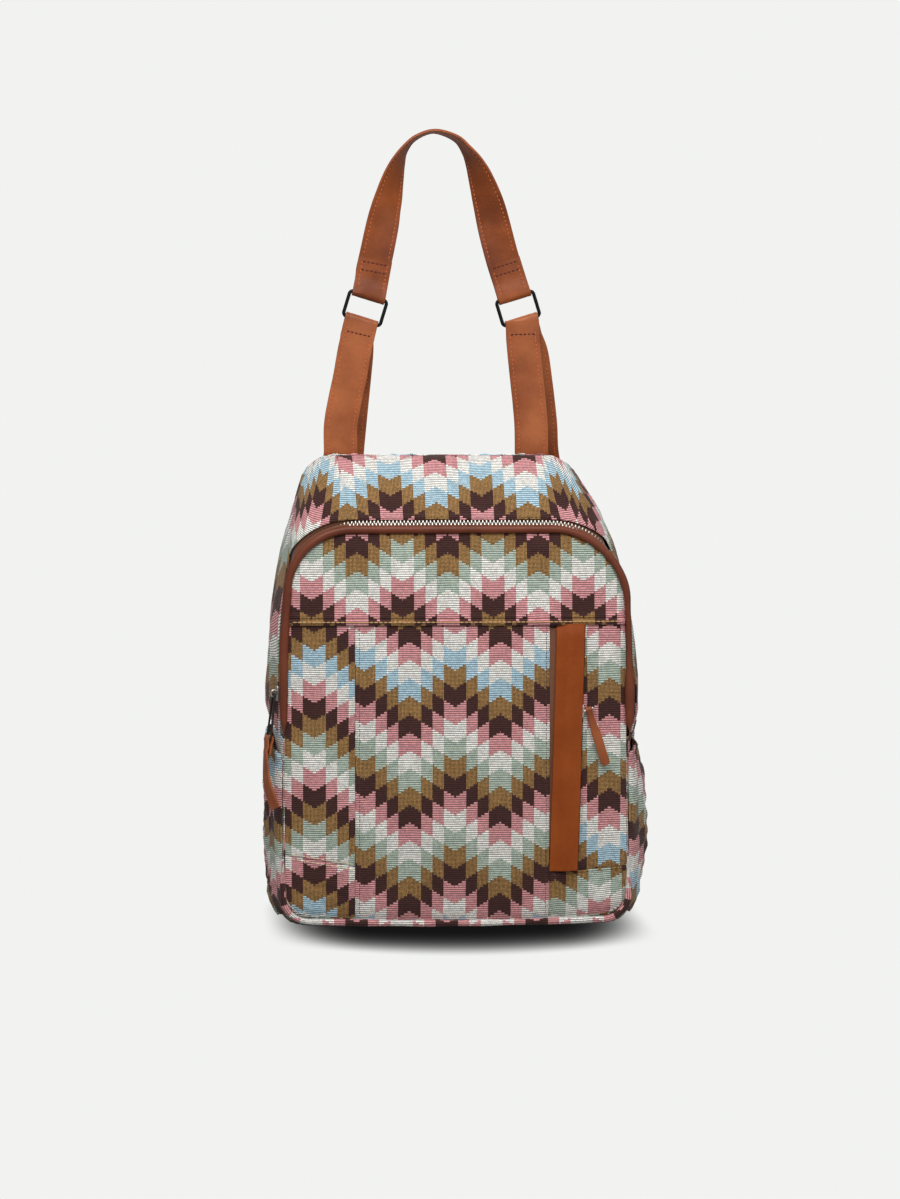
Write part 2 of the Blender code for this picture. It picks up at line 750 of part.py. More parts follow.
def pouch():
    """Flat pouch of the front pocket, open along its right side at the zip."""
    heights = spread(POUCH_BOTTOM, POUCH_TOP, 8)
    rows = []
    for x in spread(POUCH_RIGHT, POUCH_LEFT, 8):
        outer = [front_surface(x, z, -POUCH_DROP) for z in heights]
        inner = [front_surface(x, z, -POUCH_DROP - POUCH_DEPTH) for z in reversed(heights)]
        rows.append(outer + inner)

    def close(start, width):
        return [(start + n, start + n + 1, start + width - 2 - n, start + width - 1 - n)
                for n in range(width // 2 - 1)]

    return sheet("front_pocket_pouch", rows, LINING, "lining", closed=True, cap=close)


pouch()


# Rings, shoulder straps and handle
def ring_frame(side):
    """Middle of the lower bar, direction along the bars and direction up the ring."""
    middle = Vector((side * RING_X + STRAP_SHIFT, RING_Y, RING_Z))
    along = Vector((math.cos(RING_TILT), 0, side * math.sin(RING_TILT)))
    up = Vector((-side * math.sin(RING_TILT), 0, math.cos(RING_TILT)))
    return middle, along, up


handle_pivot = bpy.data.objects.new("handle_pivot", None)
handle_pivot.location = (STRAP_SHIFT, RING_Y, RING_Z)
backpack.objects.link(handle_pivot)
PIVOT = Vector(handle_pivot.location)


def ring(name, side):
    """Rectangular wire ring with round corners."""
    middle, along, up = ring_frame(side)
    half = STRAP_WIDTH / 2 + RING_SIDE_ROOM + RING_WIRE
    corners = ((half, 0, -90), (half, RING_PITCH, 0), (-half, RING_PITCH, 90), (-half, 0, 180))
    points = []
    for x, z, start in corners:
        cx = x - math.copysign(RING_CORNER, x)
        cz = z + RING_CORNER if z == 0 else z - RING_CORNER
        for angle in spread(start, start + 90, 4):
            turn = math.radians(angle)
            points.append(middle + along * (cx + RING_CORNER * math.cos(turn))
                          + up * (cz + RING_CORNER * math.sin(turn)))
    return wire(name, points, RING_WIRE, "black metal", cyclic=True, origin=PIVOT, parent=handle_pivot)


def ribbon(name, stations, width, thickness, finish, origin=None, parent=None):
    """Leather band along a route: each station is (centre, direction across the band)."""
    rows = []
    for number, (centre, across) in enumerate(stations):
        before = stations[max(number - 1, 0)][0]
        after = stations[min(number + 1, len(stations) - 1)][0]
        along = (after - before).normalized()
        flat = (across - along * across.dot(along)).normalized()
        wide = width(number / (len(stations) - 1)) if callable(width) else width
        rows.append([centre - flat * wide / 2, centre + flat * wide / 2])
    return sheet(name, rows, thickness, finish, offset=0.0, origin=origin, parent=parent)


def tilted(side, degrees):
    angle = math.radians(degrees)
    return Vector((math.cos(angle), 0, side * math.sin(angle)))


HALF_STRAP = STRAP_THICKNESS / 2
LOOP_Y = RING_WIRE + RING_SWING_ROOM + HALF_STRAP
LOOP_UP = RING_WIRE + CLEARANCE + 0.0001 + HALF_STRAP

# Routes as (x, z, tilt) and (x, y, z, tilt), with the tilt in degrees
FRONT_LEGS = {
    -1: ((-0.0842, 0.3420, 6), (-0.0841, 0.3622, 8), (-0.0812, 0.3798, 10), (-0.0774, 0.3974, 11),
         (-0.0743, 0.4150, 13), (-0.0718, 0.4262, 16)),
    1: ((0.0556, 0.3420, 4), (0.0553, 0.3622, 5), (0.0539, 0.3798, 7), (0.0520, 0.3974, 9),
        (0.0502, 0.4150, 12), (0.0492, 0.4262, 16)),
}
REAR_LEGS = {
    -1: ((-0.0719, -0.0062, 0.4262, 16), (-0.0720, -0.0045, 0.4150, 13), (-0.0735, -0.0010, 0.3974, 9),
         (-0.0765, 0.0040, 0.3651, 5), (-0.0789, 0.0100, 0.3358, 3)),
    1: ((0.0521, -0.0062, 0.4262, 16), (0.0565, -0.0045, 0.4150, 13), (0.0596, -0.0010, 0.3974, 9),
        (0.0639, 0.0040, 0.3651, 5), (0.0668, 0.0100, 0.3358, 3)),
}
BACK_RUN = ((0.0810, 0.0270, 0.2900, 4), (0.0890, 0.0440, 0.2300, 5), (0.0945, 0.0550, 0.1700, 5),
            (0.0990, 0.0585, 0.1150, 5), (0.1015, 0.0540, 0.0750, 4), (0.1028, 0.0465, 0.0550, 3))


def strap(name, side):
    """Shoulder strap: foot on the back panel, up, round the ring's lower bar and down to the corner."""
    middle, along, up = ring_frame(side)
    seat = 2 * CLEARANCE + HALF_STRAP
    foot_x, foot_z = FRONT_LEGS[side][0][:2]
    head_z = FRONT_LEGS[side][-1][1]
    edge = back_plane(BACK_TOP) + seat
    route = []
    for z in (0.300, 0.320, 0.336):
        y = back_surface(foot_x - back_shift(z), z, seat).y
        route.append((foot_x + side * 0.001, y, z, 4))
    for x, z, tilt in FRONT_LEGS[side]:
        part = (z - foot_z) / (head_z - foot_z)
        y = edge + (RING_Y - LOOP_Y - edge) * part
        route.append((x, y, z, tilt))
    front = smooth(route, 2)
    stations = [(Vector((x, y, z)), tilted(side, tilt)) for x, y, z, tilt in front]
    for angle in spread(0, 180, 8):
        turn = math.radians(angle)
        centre = middle + up * LOOP_UP * math.sin(turn) - Vector((0, LOOP_Y * math.cos(turn), 0))
        stations.append((centre, along))
    route = list(REAR_LEGS[side])
    route += [(side * x, y, z, tilt) for x, y, z, tilt in BACK_RUN]
    for z, free in ((0.042, 0.0020), (0.032, 0), (0.022, 0), (STRAP_END_Z, 0)):
        y = back_surface(STRAP_END_X, z, seat + free).y
        route.append((side * STRAP_END_X, y, z, 3))
    stations += [(Vector((x, y, z)), tilted(side, tilt)) for x, y, z, tilt in smooth(route, 2)]
    return ribbon(name, stations, STRAP_WIDTH, STRAP_THICKNESS, "tan leather")


# Handle arch as (x, z, twist in degrees): 0 lies across the front, 90 is edge-on
ARCH = ((-0.0603, 0.4756, 0), (-0.0574, 0.4883, 4), (-0.0535, 0.5069, 12), (-0.0508, 0.5200, 26),
        (-0.0486, 0.5289, 35), (-0.0466, 0.5376, 45), (-0.0442, 0.5464, 55), (-0.0411, 0.5552, 67),
        (-0.0369, 0.5636, 79), (-0.0291, 0.5719, 86), (-0.0153, 0.5768, 90), (0.0003, 0.5719, 94),
        (0.0081, 0.5636, 101), (0.0133, 0.5552, 113), (0.0172, 0.5464, 125), (0.0203, 0.5376, 135),
        (0.0230, 0.5289, 145), (0.0255, 0.5200, 154), (0.0296, 0.5030, 168), (0.0340, 0.4864, 176),
        (0.0373, 0.4756, 180))


def handle():
    """One band: a tab folded up in front of each ring, the arch between them behind the tabs."""
    radius = RING_WIRE + CLEARANCE + 0.0001 + HALF_STRAP
    layers = HALF_STRAP + HALF_GAP
    ends = {}
    for side in (-1, 1):
        middle, along, up = ring_frame(side)
        bar = middle + up * RING_PITCH
        across = along * -side
        foot_x, foot_z = ARCH[1 if side < 0 else -2][:2]
        lean = Vector((foot_x - bar.x, 0, foot_z - bar.z)).normalized()
        stations = []
        for height in (HANDLE_TAB, HANDLE_TAB * 0.7, 0.012):
            stations.append((bar + lean * height - Vector((0, layers, 0)), across))
        stations.append((bar + lean * 0.006 - Vector((0, (layers + radius) / 2, 0)), across))
        for angle in spread(0, 180, 8):
            turn = math.radians(angle)
            centre = bar - up * radius * math.sin(turn) - Vector((0, radius * math.cos(turn), 0))
            stations.append((centre, across))
        stations.append((bar + lean * 0.006 + Vector((0, (layers + radius) / 2, 0)), across))
        stations.append((bar + lean * 0.012 + Vector((0, layers, 0)), across))
        ends[side] = stations
    arch = []
    route = smooth(ARCH, 2)
    for number, (x, z, twist) in enumerate(route):
        before = route[max(number - 1, 0)]
        after = route[min(number + 1, len(route) - 1)]
        along = Vector((after[0] - before[0], 0, after[1] - before[1])).normalized()
        turn = math.radians(twist)
        inward = Vector((along.z, 0, -along.x))
        across = inward * abs(math.cos(turn)) + Vector((0, math.sin(turn), 0))
        arch.append((Vector((x, RING_Y + layers, z)), across))
    return ribbon("handle_strap", ends[-1] + arch + ends[1][::-1], STRAP_WIDTH, STRAP_THICKNESS,
                  "tan leather", PIVOT, handle_pivot)


ring("ring_left", -1)
ring("ring_right", 1)
strap("shoulder_strap_left", -1)
strap("shoulder_strap_right", 1)
handle()

for side, label in ((-1, "left"), (1, "right")):
    low = STRAP_END_Z - 0.001
    edges = (side * STRAP_END_X + PATCH_WIDTH / 2, side * STRAP_END_X - PATCH_WIDTH / 2)
    panel_sheet("strap_patch_" + label, back_surface, fixed(edges[0]), fixed(edges[1]), (low, low),
                (low + PATCH_HEIGHT, low + PATCH_HEIGHT), 2, round_rows(3), PATCH_THICKNESS, "tan leather",
                3 * CLEARANCE + STRAP_THICKNESS + PATCH_THICKNESS)


# Zip sliders and pulls
cutters = bpy.data.collections.new("backpack_joined_shapes")
bpy.context.scene.collection.children.link(cutters)


def join_to(part, tool):
    """Weld a second shape onto a part."""
    for collection in list(tool.users_collection):
        collection.objects.unlink(tool)
    cutters.objects.link(tool)
    tool.hide_render = True
    tool.display_type = "WIRE"
    union = part.modifiers.new(tool.name, "BOOLEAN")
    union.operation = "UNION"
    union.solver = "EXACT"
    union.object = tool


def placed(axes, origin):
    """Matrix whose X, Y and Z follow three directions from a point."""
    matrix = Matrix(axes).transposed().to_4x4()
    matrix.translation = origin
    return matrix


def slider_block(name, size, matrix, corner):
    bpy.ops.mesh.primitive_cube_add(size=1)
    part = bpy.context.object
    part.name = name
    part.data.transform(Matrix.Diagonal((*size, 1.0)))
    part.matrix_world = matrix
    edge = part.modifiers.new("edges", "BEVEL")
    edge.width = corner
    edge.segments = 2
    return part


def main_slider_frame():
    """Point on the teeth, outward direction and direction across the zip, at the left side."""
    station = STATIONS - FRONT.station_at(SLIDER_Z, 0.0, -1)
    depth = depth_at(station, (TEETH_START + TEETH_END) / 2)
    out = gusset_normal(station, depth)
    out = Vector((out.x, out.y, 0)).normalized()
    point = gusset(station, depth)
    point.z = SLIDER_Z
    up = Vector((0, 0, 1))
    return point, out, up, up.cross(out)


point, out, up, across = main_slider_frame()
block_lift = TEETH_LIFT + 2 * CLEARANCE + SLIDER_THICKNESS / 2
slider_middle = point + out * block_lift
bail_middle = point + out * (block_lift + SLIDER_THICKNESS / 2 + BAIL_RADIUS - BAIL_WIRE)
main_slider = slider_block("main_zip_slider", (SLIDER_WIDTH, SLIDER_LENGTH, SLIDER_THICKNESS),
                           placed((across, up, out), slider_middle), 0.0005)
link_part(main_slider, "silver")
bpy.ops.mesh.primitive_torus_add(major_radius=BAIL_RADIUS, minor_radius=BAIL_WIRE, major_segments=20,
                                 minor_segments=8)
bail = bpy.context.object
bail.name = "main_slider_bail"
bail.matrix_world = placed((out, up, -across), bail_middle)
join_to(main_slider, bail)

# The wire link hangs from the bail and leans out a little over the pocket
link_down = -up * math.cos(LINK_LEAN) + out * math.sin(LINK_LEAN)


def rounded_loop(corners, radius, steps):
    """Closed loop of 2D points with round corners."""
    points = []
    count = len(corners)
    for number in range(count):
        corner = Vector(corners[number])
        before = (corner - Vector(corners[number - 1])).normalized()
        after = (Vector(corners[(number + 1) % count]) - corner).normalized()
        cut = radius * math.tan(before.angle(after) / 2)
        weight = math.cos(before.angle(after) / 2)
        for part in spread(0, 1, steps):
            shares = ((1 - part) ** 2, 2 * part * (1 - part) * weight, part ** 2)
            spot = (corner - before * cut) * shares[0] + corner * shares[1]
            spot += (corner + after * cut) * shares[2]
            points.append(spot / sum(shares))
    return points


link_outline = rounded_loop(((-LINK_TOP_HALF, 0), (LINK_TOP_HALF, 0), (LINK_FOOT_HALF, LINK_LENGTH),
                             (-LINK_FOOT_HALF, LINK_LENGTH)), 0.0012, 3)
wire("main_pull_link", [bail_middle + across * spot.x + link_down * spot.y for spot in link_outline],
     LINK_WIRE, "silver", cyclic=True, origin=bail_middle)

link_foot = bail_middle + link_down * LINK_LENGTH
LINK_LOOP = LINK_WIRE + CLEARANCE + TAB_THICKNESS / 2
# Tab route below the link as (x, y, z from the link's foot, turn of its width in degrees)
TAB_ROUTE = ((-0.0015, -0.0010, -0.009, 8), (-0.0014, -0.0035, -0.018, 16), (-0.0006, -0.0080, -0.030, 28),
             (0.0024, -0.0115, -0.041, 40), (0.0052, -0.0130, -0.049, 45))


def main_tab():
    """Leather tab folded round the link's foot; it turns towards the front as it hangs."""
    stations = []
    inner = link_foot - out * (TAB_THICKNESS / 2 + HALF_GAP)
    stations.append((inner + link_down * 0.011, across))
    stations.append((inner + link_down * 0.007, across))
    for angle in spread(-30, 210, 8):
        turn = math.radians(angle)
        stations.append((link_foot - link_down * LINK_LOOP * math.sin(turn)
                         - out * LINK_LOOP * math.cos(turn), across))
    outer = link_foot + out * (TAB_THICKNESS / 2 + HALF_GAP)
    stations.append((outer + link_down * 0.006, across))
    for x, y, z, turn in smooth(TAB_ROUTE, 2):
        angle = math.radians(turn)
        wide = Vector((math.sin(angle), -math.cos(angle), 0))
        stations.append((outer + Vector((x, y, z)), wide))
    return ribbon("main_pull_tab", stations, TAB_WIDTH, TAB_THICKNESS, "tan leather", origin=link_foot)


main_tab()

# Pocket slider with a round bar for its leather loop
zip_up = Vector((STRIP_TOP_LEFT - STRIP_FOOT_LEFT, 0, YOKE_HEM - RIGHT_CORNER_SEAM[0])).normalized()
zip_out = Vector((0, -1, 0))
zip_across = zip_up.cross(zip_out)
pull_point = front_surface(teeth_middle(PULL_Z), PULL_Z)
pull_middle = pull_point + zip_out * (TEETH_TOP_LIFT + CLEARANCE + PULL_SLIDER_THICKNESS / 2)
pocket_slider = slider_block("pocket_zip_slider", (PULL_SLIDER_WIDTH, PULL_SLIDER_LENGTH,
                                                   PULL_SLIDER_THICKNESS),
                             placed((zip_across, zip_up, zip_across.cross(zip_up)), pull_middle), 0.0004)
link_part(pocket_slider, "silver")
bar_along = Vector((math.cos(PULL_TILT), 0, math.sin(PULL_TILT)))
bar_down = Vector((math.sin(PULL_TILT), 0, -math.cos(PULL_TILT)))
bar_start = pull_point + zip_across * (PULL_SLIDER_WIDTH / 2 - PULL_BAR_ROOT) + zip_out * PULL_BAR_LIFT


def pin(name, start, direction, length, radius):
    bpy.ops.mesh.primitive_cylinder_add(vertices=12, radius=radius, depth=length)
    part = bpy.context.object
    part.name = name
    part.matrix_world = placed((zip_out, direction.cross(zip_out), direction),
                               start + direction * length / 2)
    return part


join_to(pocket_slider, pin("pocket_slider_bar", bar_start, bar_along, PULL_BAR_LENGTH + 0.001, PULL_BAR))
join_to(pocket_slider, pin("pocket_slider_head", bar_start + bar_along * PULL_BAR_LENGTH, bar_along,
                           0.0006, PULL_HEAD))
loop_middle = bar_start + bar_along * (PULL_BAR_LENGTH - CLEARANCE - PULL_LOOP_WIDTH / 2 - 0.0002)


def pocket_tab():
    """Leather tab with a narrow loop round the slider's bar."""
    layers = PULL_TAB_THICKNESS / 2 + HALF_GAP
    radius = PULL_BAR + CLEARANCE + PULL_TAB_THICKNESS / 2
    stations = [(loop_middle + bar_down * 0.012 - zip_out * layers, bar_along),
                (loop_middle + bar_down * 0.006 - zip_out * layers, bar_along)]
    for angle in spread(-30, 210, 8):
        turn = math.radians(angle)
        stations.append((loop_middle - bar_down * radius * math.sin(turn)
                         - zip_out * radius * math.cos(turn), bar_along))
    for down in (0.006, 0.012, 0.014, 0.020, 0.027, 0.034, PULL_TAB_LENGTH):
        stations.append((loop_middle + bar_down * down + zip_out * layers, bar_along))

    def width(part):
        return PULL_LOOP_WIDTH if part < 0.65 else PULL_TAB_WIDTH

    return ribbon("pocket_pull_tab", stations, width, PULL_TAB_THICKNESS, "tan leather", origin=loop_middle)


pocket_tab()
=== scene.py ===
# %% [markdown]
# # A woven backpack, dressed piece by piece
#
# The imported CAD model gives every piece its place, in metres, with the bag's front facing -Y.
# This script keeps that frame and puts cloth, leather, thread and metal on it. Each cell makes one
# kind of piece and says what it is on the real bag; most cells also print what they made.

# %% Load the frame
import math

import bpy
import numpy as np
from mathutils import Matrix, Vector


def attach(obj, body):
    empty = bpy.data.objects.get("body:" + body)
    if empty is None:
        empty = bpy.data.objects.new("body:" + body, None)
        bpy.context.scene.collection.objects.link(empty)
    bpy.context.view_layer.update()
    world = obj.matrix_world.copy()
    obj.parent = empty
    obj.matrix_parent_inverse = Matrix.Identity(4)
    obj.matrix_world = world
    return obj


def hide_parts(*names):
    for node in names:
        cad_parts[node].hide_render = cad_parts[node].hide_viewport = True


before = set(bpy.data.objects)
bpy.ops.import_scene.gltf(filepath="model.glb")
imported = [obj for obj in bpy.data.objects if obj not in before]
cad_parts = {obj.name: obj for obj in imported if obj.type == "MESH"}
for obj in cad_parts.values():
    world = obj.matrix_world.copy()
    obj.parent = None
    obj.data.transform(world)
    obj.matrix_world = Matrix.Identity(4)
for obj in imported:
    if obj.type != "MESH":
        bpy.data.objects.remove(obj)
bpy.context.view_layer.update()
bpy.ops.object.select_all(action="DESELECT")

# %% [markdown]
# ## Camera, floor and light
#
# The photograph is a plain product shot: a long lens almost straight in front of the bag, a pale
# floor that runs into a pale background, and soft light from all round. A white surrounding world
# gives each surface about its own colour. Large soft lamps add the direction that shows folds, two
# in front and one behind, and a soft shadow painted into the floor's colour darkens it where the bag stands.

# %% Camera, floor and light
AIM = Vector((-0.0032, 0.0, 0.2346))
DISTANCE = 2.6
LENS = 106
SENSOR_WIDTH = 36
AZIMUTH = math.radians(-4)
ELEVATION = math.radians(3)
BACKDROP = (0.888, 0.896, 0.880, 1.0)
WORLD_STRENGTH = 0.36
FLOOR_SIZE = 60
FLOOR_DROP = 0.0002
LAMPS = {"key": ((-0.12, -0.76, 1.17), 0.9, 12.5), "fill": ((1.3, -1.6, 0.9), 1.4, 6),
         "rear": ((0.5, 1.7, 1.3), 1.5, 14)}


def add_camera():
    back = Vector((math.sin(AZIMUTH) * math.cos(ELEVATION), -math.cos(AZIMUTH) * math.cos(ELEVATION),
                   math.sin(ELEVATION)))
    turn = back.to_track_quat("Z", "Y").to_euler()
    bpy.ops.object.camera_add(location=AIM + back * DISTANCE, rotation=turn)
    camera = bpy.context.object
    camera.data.lens = LENS
    camera.data.sensor_width = SENSOR_WIDTH
    bpy.context.scene.camera = camera


def add_lamp(name, location, size, power):
    bpy.ops.object.light_add(type="AREA", location=location)
    lamp = bpy.context.object
    lamp.name = name
    lamp.data.size = size
    lamp.data.energy = power
    lamp.rotation_euler = (Vector(location) - AIM).to_track_quat("Z", "Y").to_euler()


def add_world():
    """White light from all round; the camera sees the backdrop's colour instead."""
    world = bpy.data.worlds.new("studio")
    world.use_nodes = True
    tree = world.node_tree
    tree.nodes.clear()
    rays = tree.nodes.new("ShaderNodeLightPath")
    light = tree.nodes.new("ShaderNodeBackground")
    light.inputs["Color"].default_value = (1.0, 1.0, 1.0, 1.0)
    light.inputs["Strength"].default_value = WORLD_STRENGTH
    seen = tree.nodes.new("ShaderNodeBackground")
    seen.inputs["Color"].default_value = BACKDROP
    mix = tree.nodes.new("ShaderNodeMixShader")
    output = tree.nodes.new("ShaderNodeOutputWorld")
    tree.links.new(rays.outputs["Is Camera Ray"], mix.inputs[0])
    tree.links.new(light.outputs[0], mix.inputs[1])
    tree.links.new(seen.outputs[0], mix.inputs[2])
    tree.links.new(mix.outputs[0], output.inputs["Surface"])
    bpy.context.scene.world = world


add_camera()
add_world()
for lamp_name, (location, size, power) in LAMPS.items():
    add_lamp(lamp_name, location, size, power)
bpy.context.scene.view_settings.view_transform = "Standard"
bpy.ops.mesh.primitive_plane_add(size=FLOOR_SIZE, location=(0, 0, -FLOOR_DROP))
floor = bpy.context.object
floor.name = "floor"
print("camera, world, a floor and the lamps", ", ".join(LAMPS))

# %% [markdown]
# ## Node helpers
#
# Procedural materials are small programs made of nodes. Writing one helper for each kind of step,
# such as a sum or a mix of two colours, keeps the materials below short enough to read as formulas.

# %% Node helpers
def srgb(red, green, blue):
    """Linear colour from the 0-255 values that a picture shows."""
    linear = []
    for value in (red, green, blue):
        value /= 255
        linear.append(value / 12.92 if value <= 0.04045 else ((value + 0.055) / 1.055) ** 2.4)
    return (*linear, 1.0)


class Recipe:
    """A Principled material and short names for its node steps."""

    def __init__(self, name, roughness, metallic=0.0, **constants):
        self.material = bpy.data.materials.new(name)
        self.material.use_nodes = True
        self.tree = self.material.node_tree
        self.shader = self.tree.nodes["Principled BSDF"]
        self.feed(self.shader, Roughness=roughness, Metallic=metallic, **constants)

    def node(self, kind, **settings):
        made = self.tree.nodes.new("ShaderNode" + kind)
        for name, value in settings.items():
            setattr(made, name, value)
        return made

    def join(self, value, socket):
        if isinstance(value, bpy.types.NodeSocket):
            self.tree.links.new(value, socket)
        else:
            socket.default_value = value

    def feed(self, node, **values):
        for name, value in values.items():
            self.join(value, node.inputs[name.replace("_", " ")])

    def math(self, operation, *values):
        step = self.node("Math", operation=operation)
        for value, socket in zip(values, step.inputs):
            self.join(value, socket)
        return step.outputs[0]

    def ease(self, value, low, high, start=0.0, end=1.0):
        """Smooth step from start to end while the value goes from low to high."""
        step = self.node("MapRange", interpolation_type="SMOOTHSTEP")
        self.feed(step, Value=value, From_Min=low, From_Max=high, To_Min=start, To_Max=end)
        return step.outputs["Result"]

    def mix(self, share, first, second):
        step = self.node("Mix", data_type="RGBA")
        for value, socket in ((share, 0), (first, 6), (second, 7)):
            self.join(value, step.inputs[socket])
        return step.outputs[2]

    def scale(self, colour, amount):
        step = self.node("VectorMath", operation="SCALE")
        self.join(colour[:3] if isinstance(colour, tuple) else colour, step.inputs[0])
        self.join(amount, step.inputs["Scale"])
        return step.outputs[0]

    def place(self):
        return self.node("TexCoord").outputs["Object"]

    def noise(self, vector, scale, detail=2.0):
        step = self.node("TexNoise")
        self.feed(step, Vector=vector, Scale=scale, Detail=detail)
        return step.outputs["Fac"]

    def vary(self, vector, scale, middle, spread, detail=2.0):
        """Noise that stays within half the spread of a middle value."""
        return self.math("MULTIPLY_ADD", self.noise(vector, scale, detail), spread, middle - spread / 2)

    def ramp(self, value, stops, constant=False):
        step = self.node("ValToRGB")
        points = step.color_ramp
        points.interpolation = "CONSTANT" if constant else "LINEAR"
        for element, (position, colour) in zip(points.elements, stops):
            element.position = position
            element.color = colour
        for position, colour in stops[2:]:
            points.elements.new(position).color = colour
        self.join(value, step.inputs[0])
        return step.outputs[0]

    def finish(self, colour, height=None, distance=0.0002, strength=0.7, roughness=None):
        self.join(colour, self.shader.inputs["Base Color"])
        if height is not None:
            bump = self.node("Bump")
            self.feed(bump, Height=height, Distance=distance, Strength=strength)
            self.join(bump.outputs[0], self.shader.inputs["Normal"])
        if roughness is not None:
            self.join(roughness, self.shader.inputs["Roughness"])
        return self.material


print("node helpers ready")

# %% [markdown]
# ## The woven zigzag cloth
#
# The cloth is a heavy ribbed weave. Its zigzag is the traditional bargello one: columns about 8 mm
# wide step up and down every 65 mm, and colours follow each other down every column in the order
# brown, pink, off-white, blue or sage, mustard. Each piece of cloth carries its own UV map in
# millimetres, so the pattern turns with the cut and stays sharp at any distance. The ribs are a
# formula too: their height drives the bump, and their gaps carry painted shade, a darker copy of
# each band's colour. The mustard band is a brown and gold twill without ribs.

# %% Woven cloth material
RIB = 1.6
PERIOD = 65.3
COLUMN = 8.2
SLOPE = 0.64
BAND = 13.05
TWILL = 1.35
DIAGONAL = 1.4
TWILL_TURN = 2 * math.pi / TWILL / DIAGONAL
WARP = 1.5
YARN_LENGTH = 1.4
FINE_WARP = 0.54
WAVER = 0.9
BAND_COUNT = 5
BROWN, PINK, WHITE, BLUE, SAGE, MUSTARD = range(6)
SEQUENCE = (BROWN, PINK, WHITE, BLUE, MUSTARD, BROWN, PINK, WHITE, SAGE, MUSTARD, BROWN, PINK, WHITE, SAGE,
            MUSTARD)
# Each band's rib colour, and a darker copy of it that is painted shade in the gaps between ribs.
RIB_COLOURS_AND_GAP_SHADE = {
    BROWN: (srgb(74, 42, 38), srgb(34, 18, 15)),
    PINK: (srgb(226, 160, 162), srgb(92, 48, 50)),
    WHITE: (srgb(250, 248, 242), srgb(92, 84, 72)),
    BLUE: (srgb(188, 216, 228), srgb(56, 92, 112)),
    SAGE: (srgb(190, 203, 189), srgb(58, 72, 54)),
    MUSTARD: (srgb(150, 110, 55), srgb(80, 55, 34)),
}
GOLD = srgb(196, 150, 90)
UMBER = srgb(40, 24, 17)


def woven_cloth():
    cloth = Recipe("woven zigzag cloth", 0.88, Sheen_Weight=0.15, Specular_IOR_Level=0.25)
    place = cloth.node("UVMap", uv_map="UVMap").outputs[0]
    split = cloth.node("SeparateXYZ")
    cloth.feed(split, Vector=place)
    u = split.outputs[0]
    v = cloth.math("ADD", split.outputs[1], cloth.vary(place, 0.05, 0.0, WAVER))
    rib = cloth.math("FLOOR", cloth.math("DIVIDE", v, RIB))
    aside = cloth.math("PINGPONG", u, PERIOD / 2)
    column = cloth.math("FLOOR", cloth.math("DIVIDE", aside, COLUMN))
    fall = cloth.math("MULTIPLY_ADD", aside, -SLOPE, cloth.math("MULTIPLY", rib, -RIB))
    band = cloth.math("ADD", cloth.math("FLOOR", cloth.math("DIVIDE", fall, BAND)), column)
    index = cloth.math("FLOORED_MODULO", band, len(SEQUENCE))
    share = cloth.math("DIVIDE", cloth.math("ADD", index, 0.5), len(SEQUENCE))
    tops, gap_shades = ([(n / len(SEQUENCE), RIB_COLOURS_AND_GAP_SHADE[yarn][part]) for n, yarn in enumerate(SEQUENCE)]
                  for part in (0, 1))
    crest = cloth.math("DIVIDE", cloth.math("PINGPONG", v, RIB / 2), RIB / 2)
    bare = cloth.math("PINGPONG", cloth.math("MULTIPLY_ADD", rib, WARP * 0.37, u), WARP / 2)
    crest = cloth.math("ADD", crest, cloth.math("MULTIPLY", cloth.ease(bare, 0.0, WARP / 3), 0.16))
    on_top = cloth.ease(crest, 0.16, 0.70)
    # Painted shade: the colour darkens from the rib tops into the gaps.
    ribbed = cloth.mix(on_top, cloth.ramp(share, gap_shades, True), cloth.ramp(share, tops, True))
    rising = cloth.math("SINE", cloth.math("MULTIPLY", cloth.math("ADD", u, v), TWILL_TURN))
    falling = cloth.math("SINE", cloth.math("MULTIPLY", cloth.math("SUBTRACT", u, v), TWILL_TURN))
    speckle = cloth.math("MULTIPLY", rising, falling)
    fleck = cloth.vary(place, 0.9, 0.0, 1.2)
    twill = cloth.mix(cloth.ease(cloth.math("ADD", speckle, fleck), -0.25, 0.35), UMBER, GOLD)
    is_twill = cloth.math("COMPARE", cloth.math("FLOORED_MODULO", index, BAND_COUNT), BAND_COUNT - 1, 0.5)
    colour = cloth.mix(is_twill, ribbed, twill)
    yarn = cloth.node("CombineXYZ")
    cloth.feed(yarn, X=cloth.math("FLOOR", cloth.math("DIVIDE", u, YARN_LENGTH)), Y=rib)
    grain = cloth.node("TexWhiteNoise", noise_dimensions="2D")
    cloth.feed(grain, Vector=yarn.outputs[0])
    shade = cloth.math("MULTIPLY_ADD", grain.outputs["Value"], 0.30, 0.84)
    shade = cloth.math("MULTIPLY", shade, cloth.vary(place, 0.03, 1.0, 0.16))
    relief = cloth.math("ADD", cloth.ease(crest, 0.0, 1.0), cloth.math("PINGPONG", u, FINE_WARP / 2))
    lumps = cloth.math("MULTIPLY_ADD", speckle, 0.5, 0.5)
    height = cloth.math("ADD", cloth.math("MULTIPLY", relief, cloth.math("SUBTRACT", 1.0, is_twill)),
                        cloth.math("MULTIPLY", lumps, is_twill))
    return cloth.finish(cloth.scale(colour, shade), height, 0.00026, 0.9)


WOVEN = woven_cloth()
print("woven cloth with", len(SEQUENCE), "bands to a repeat")
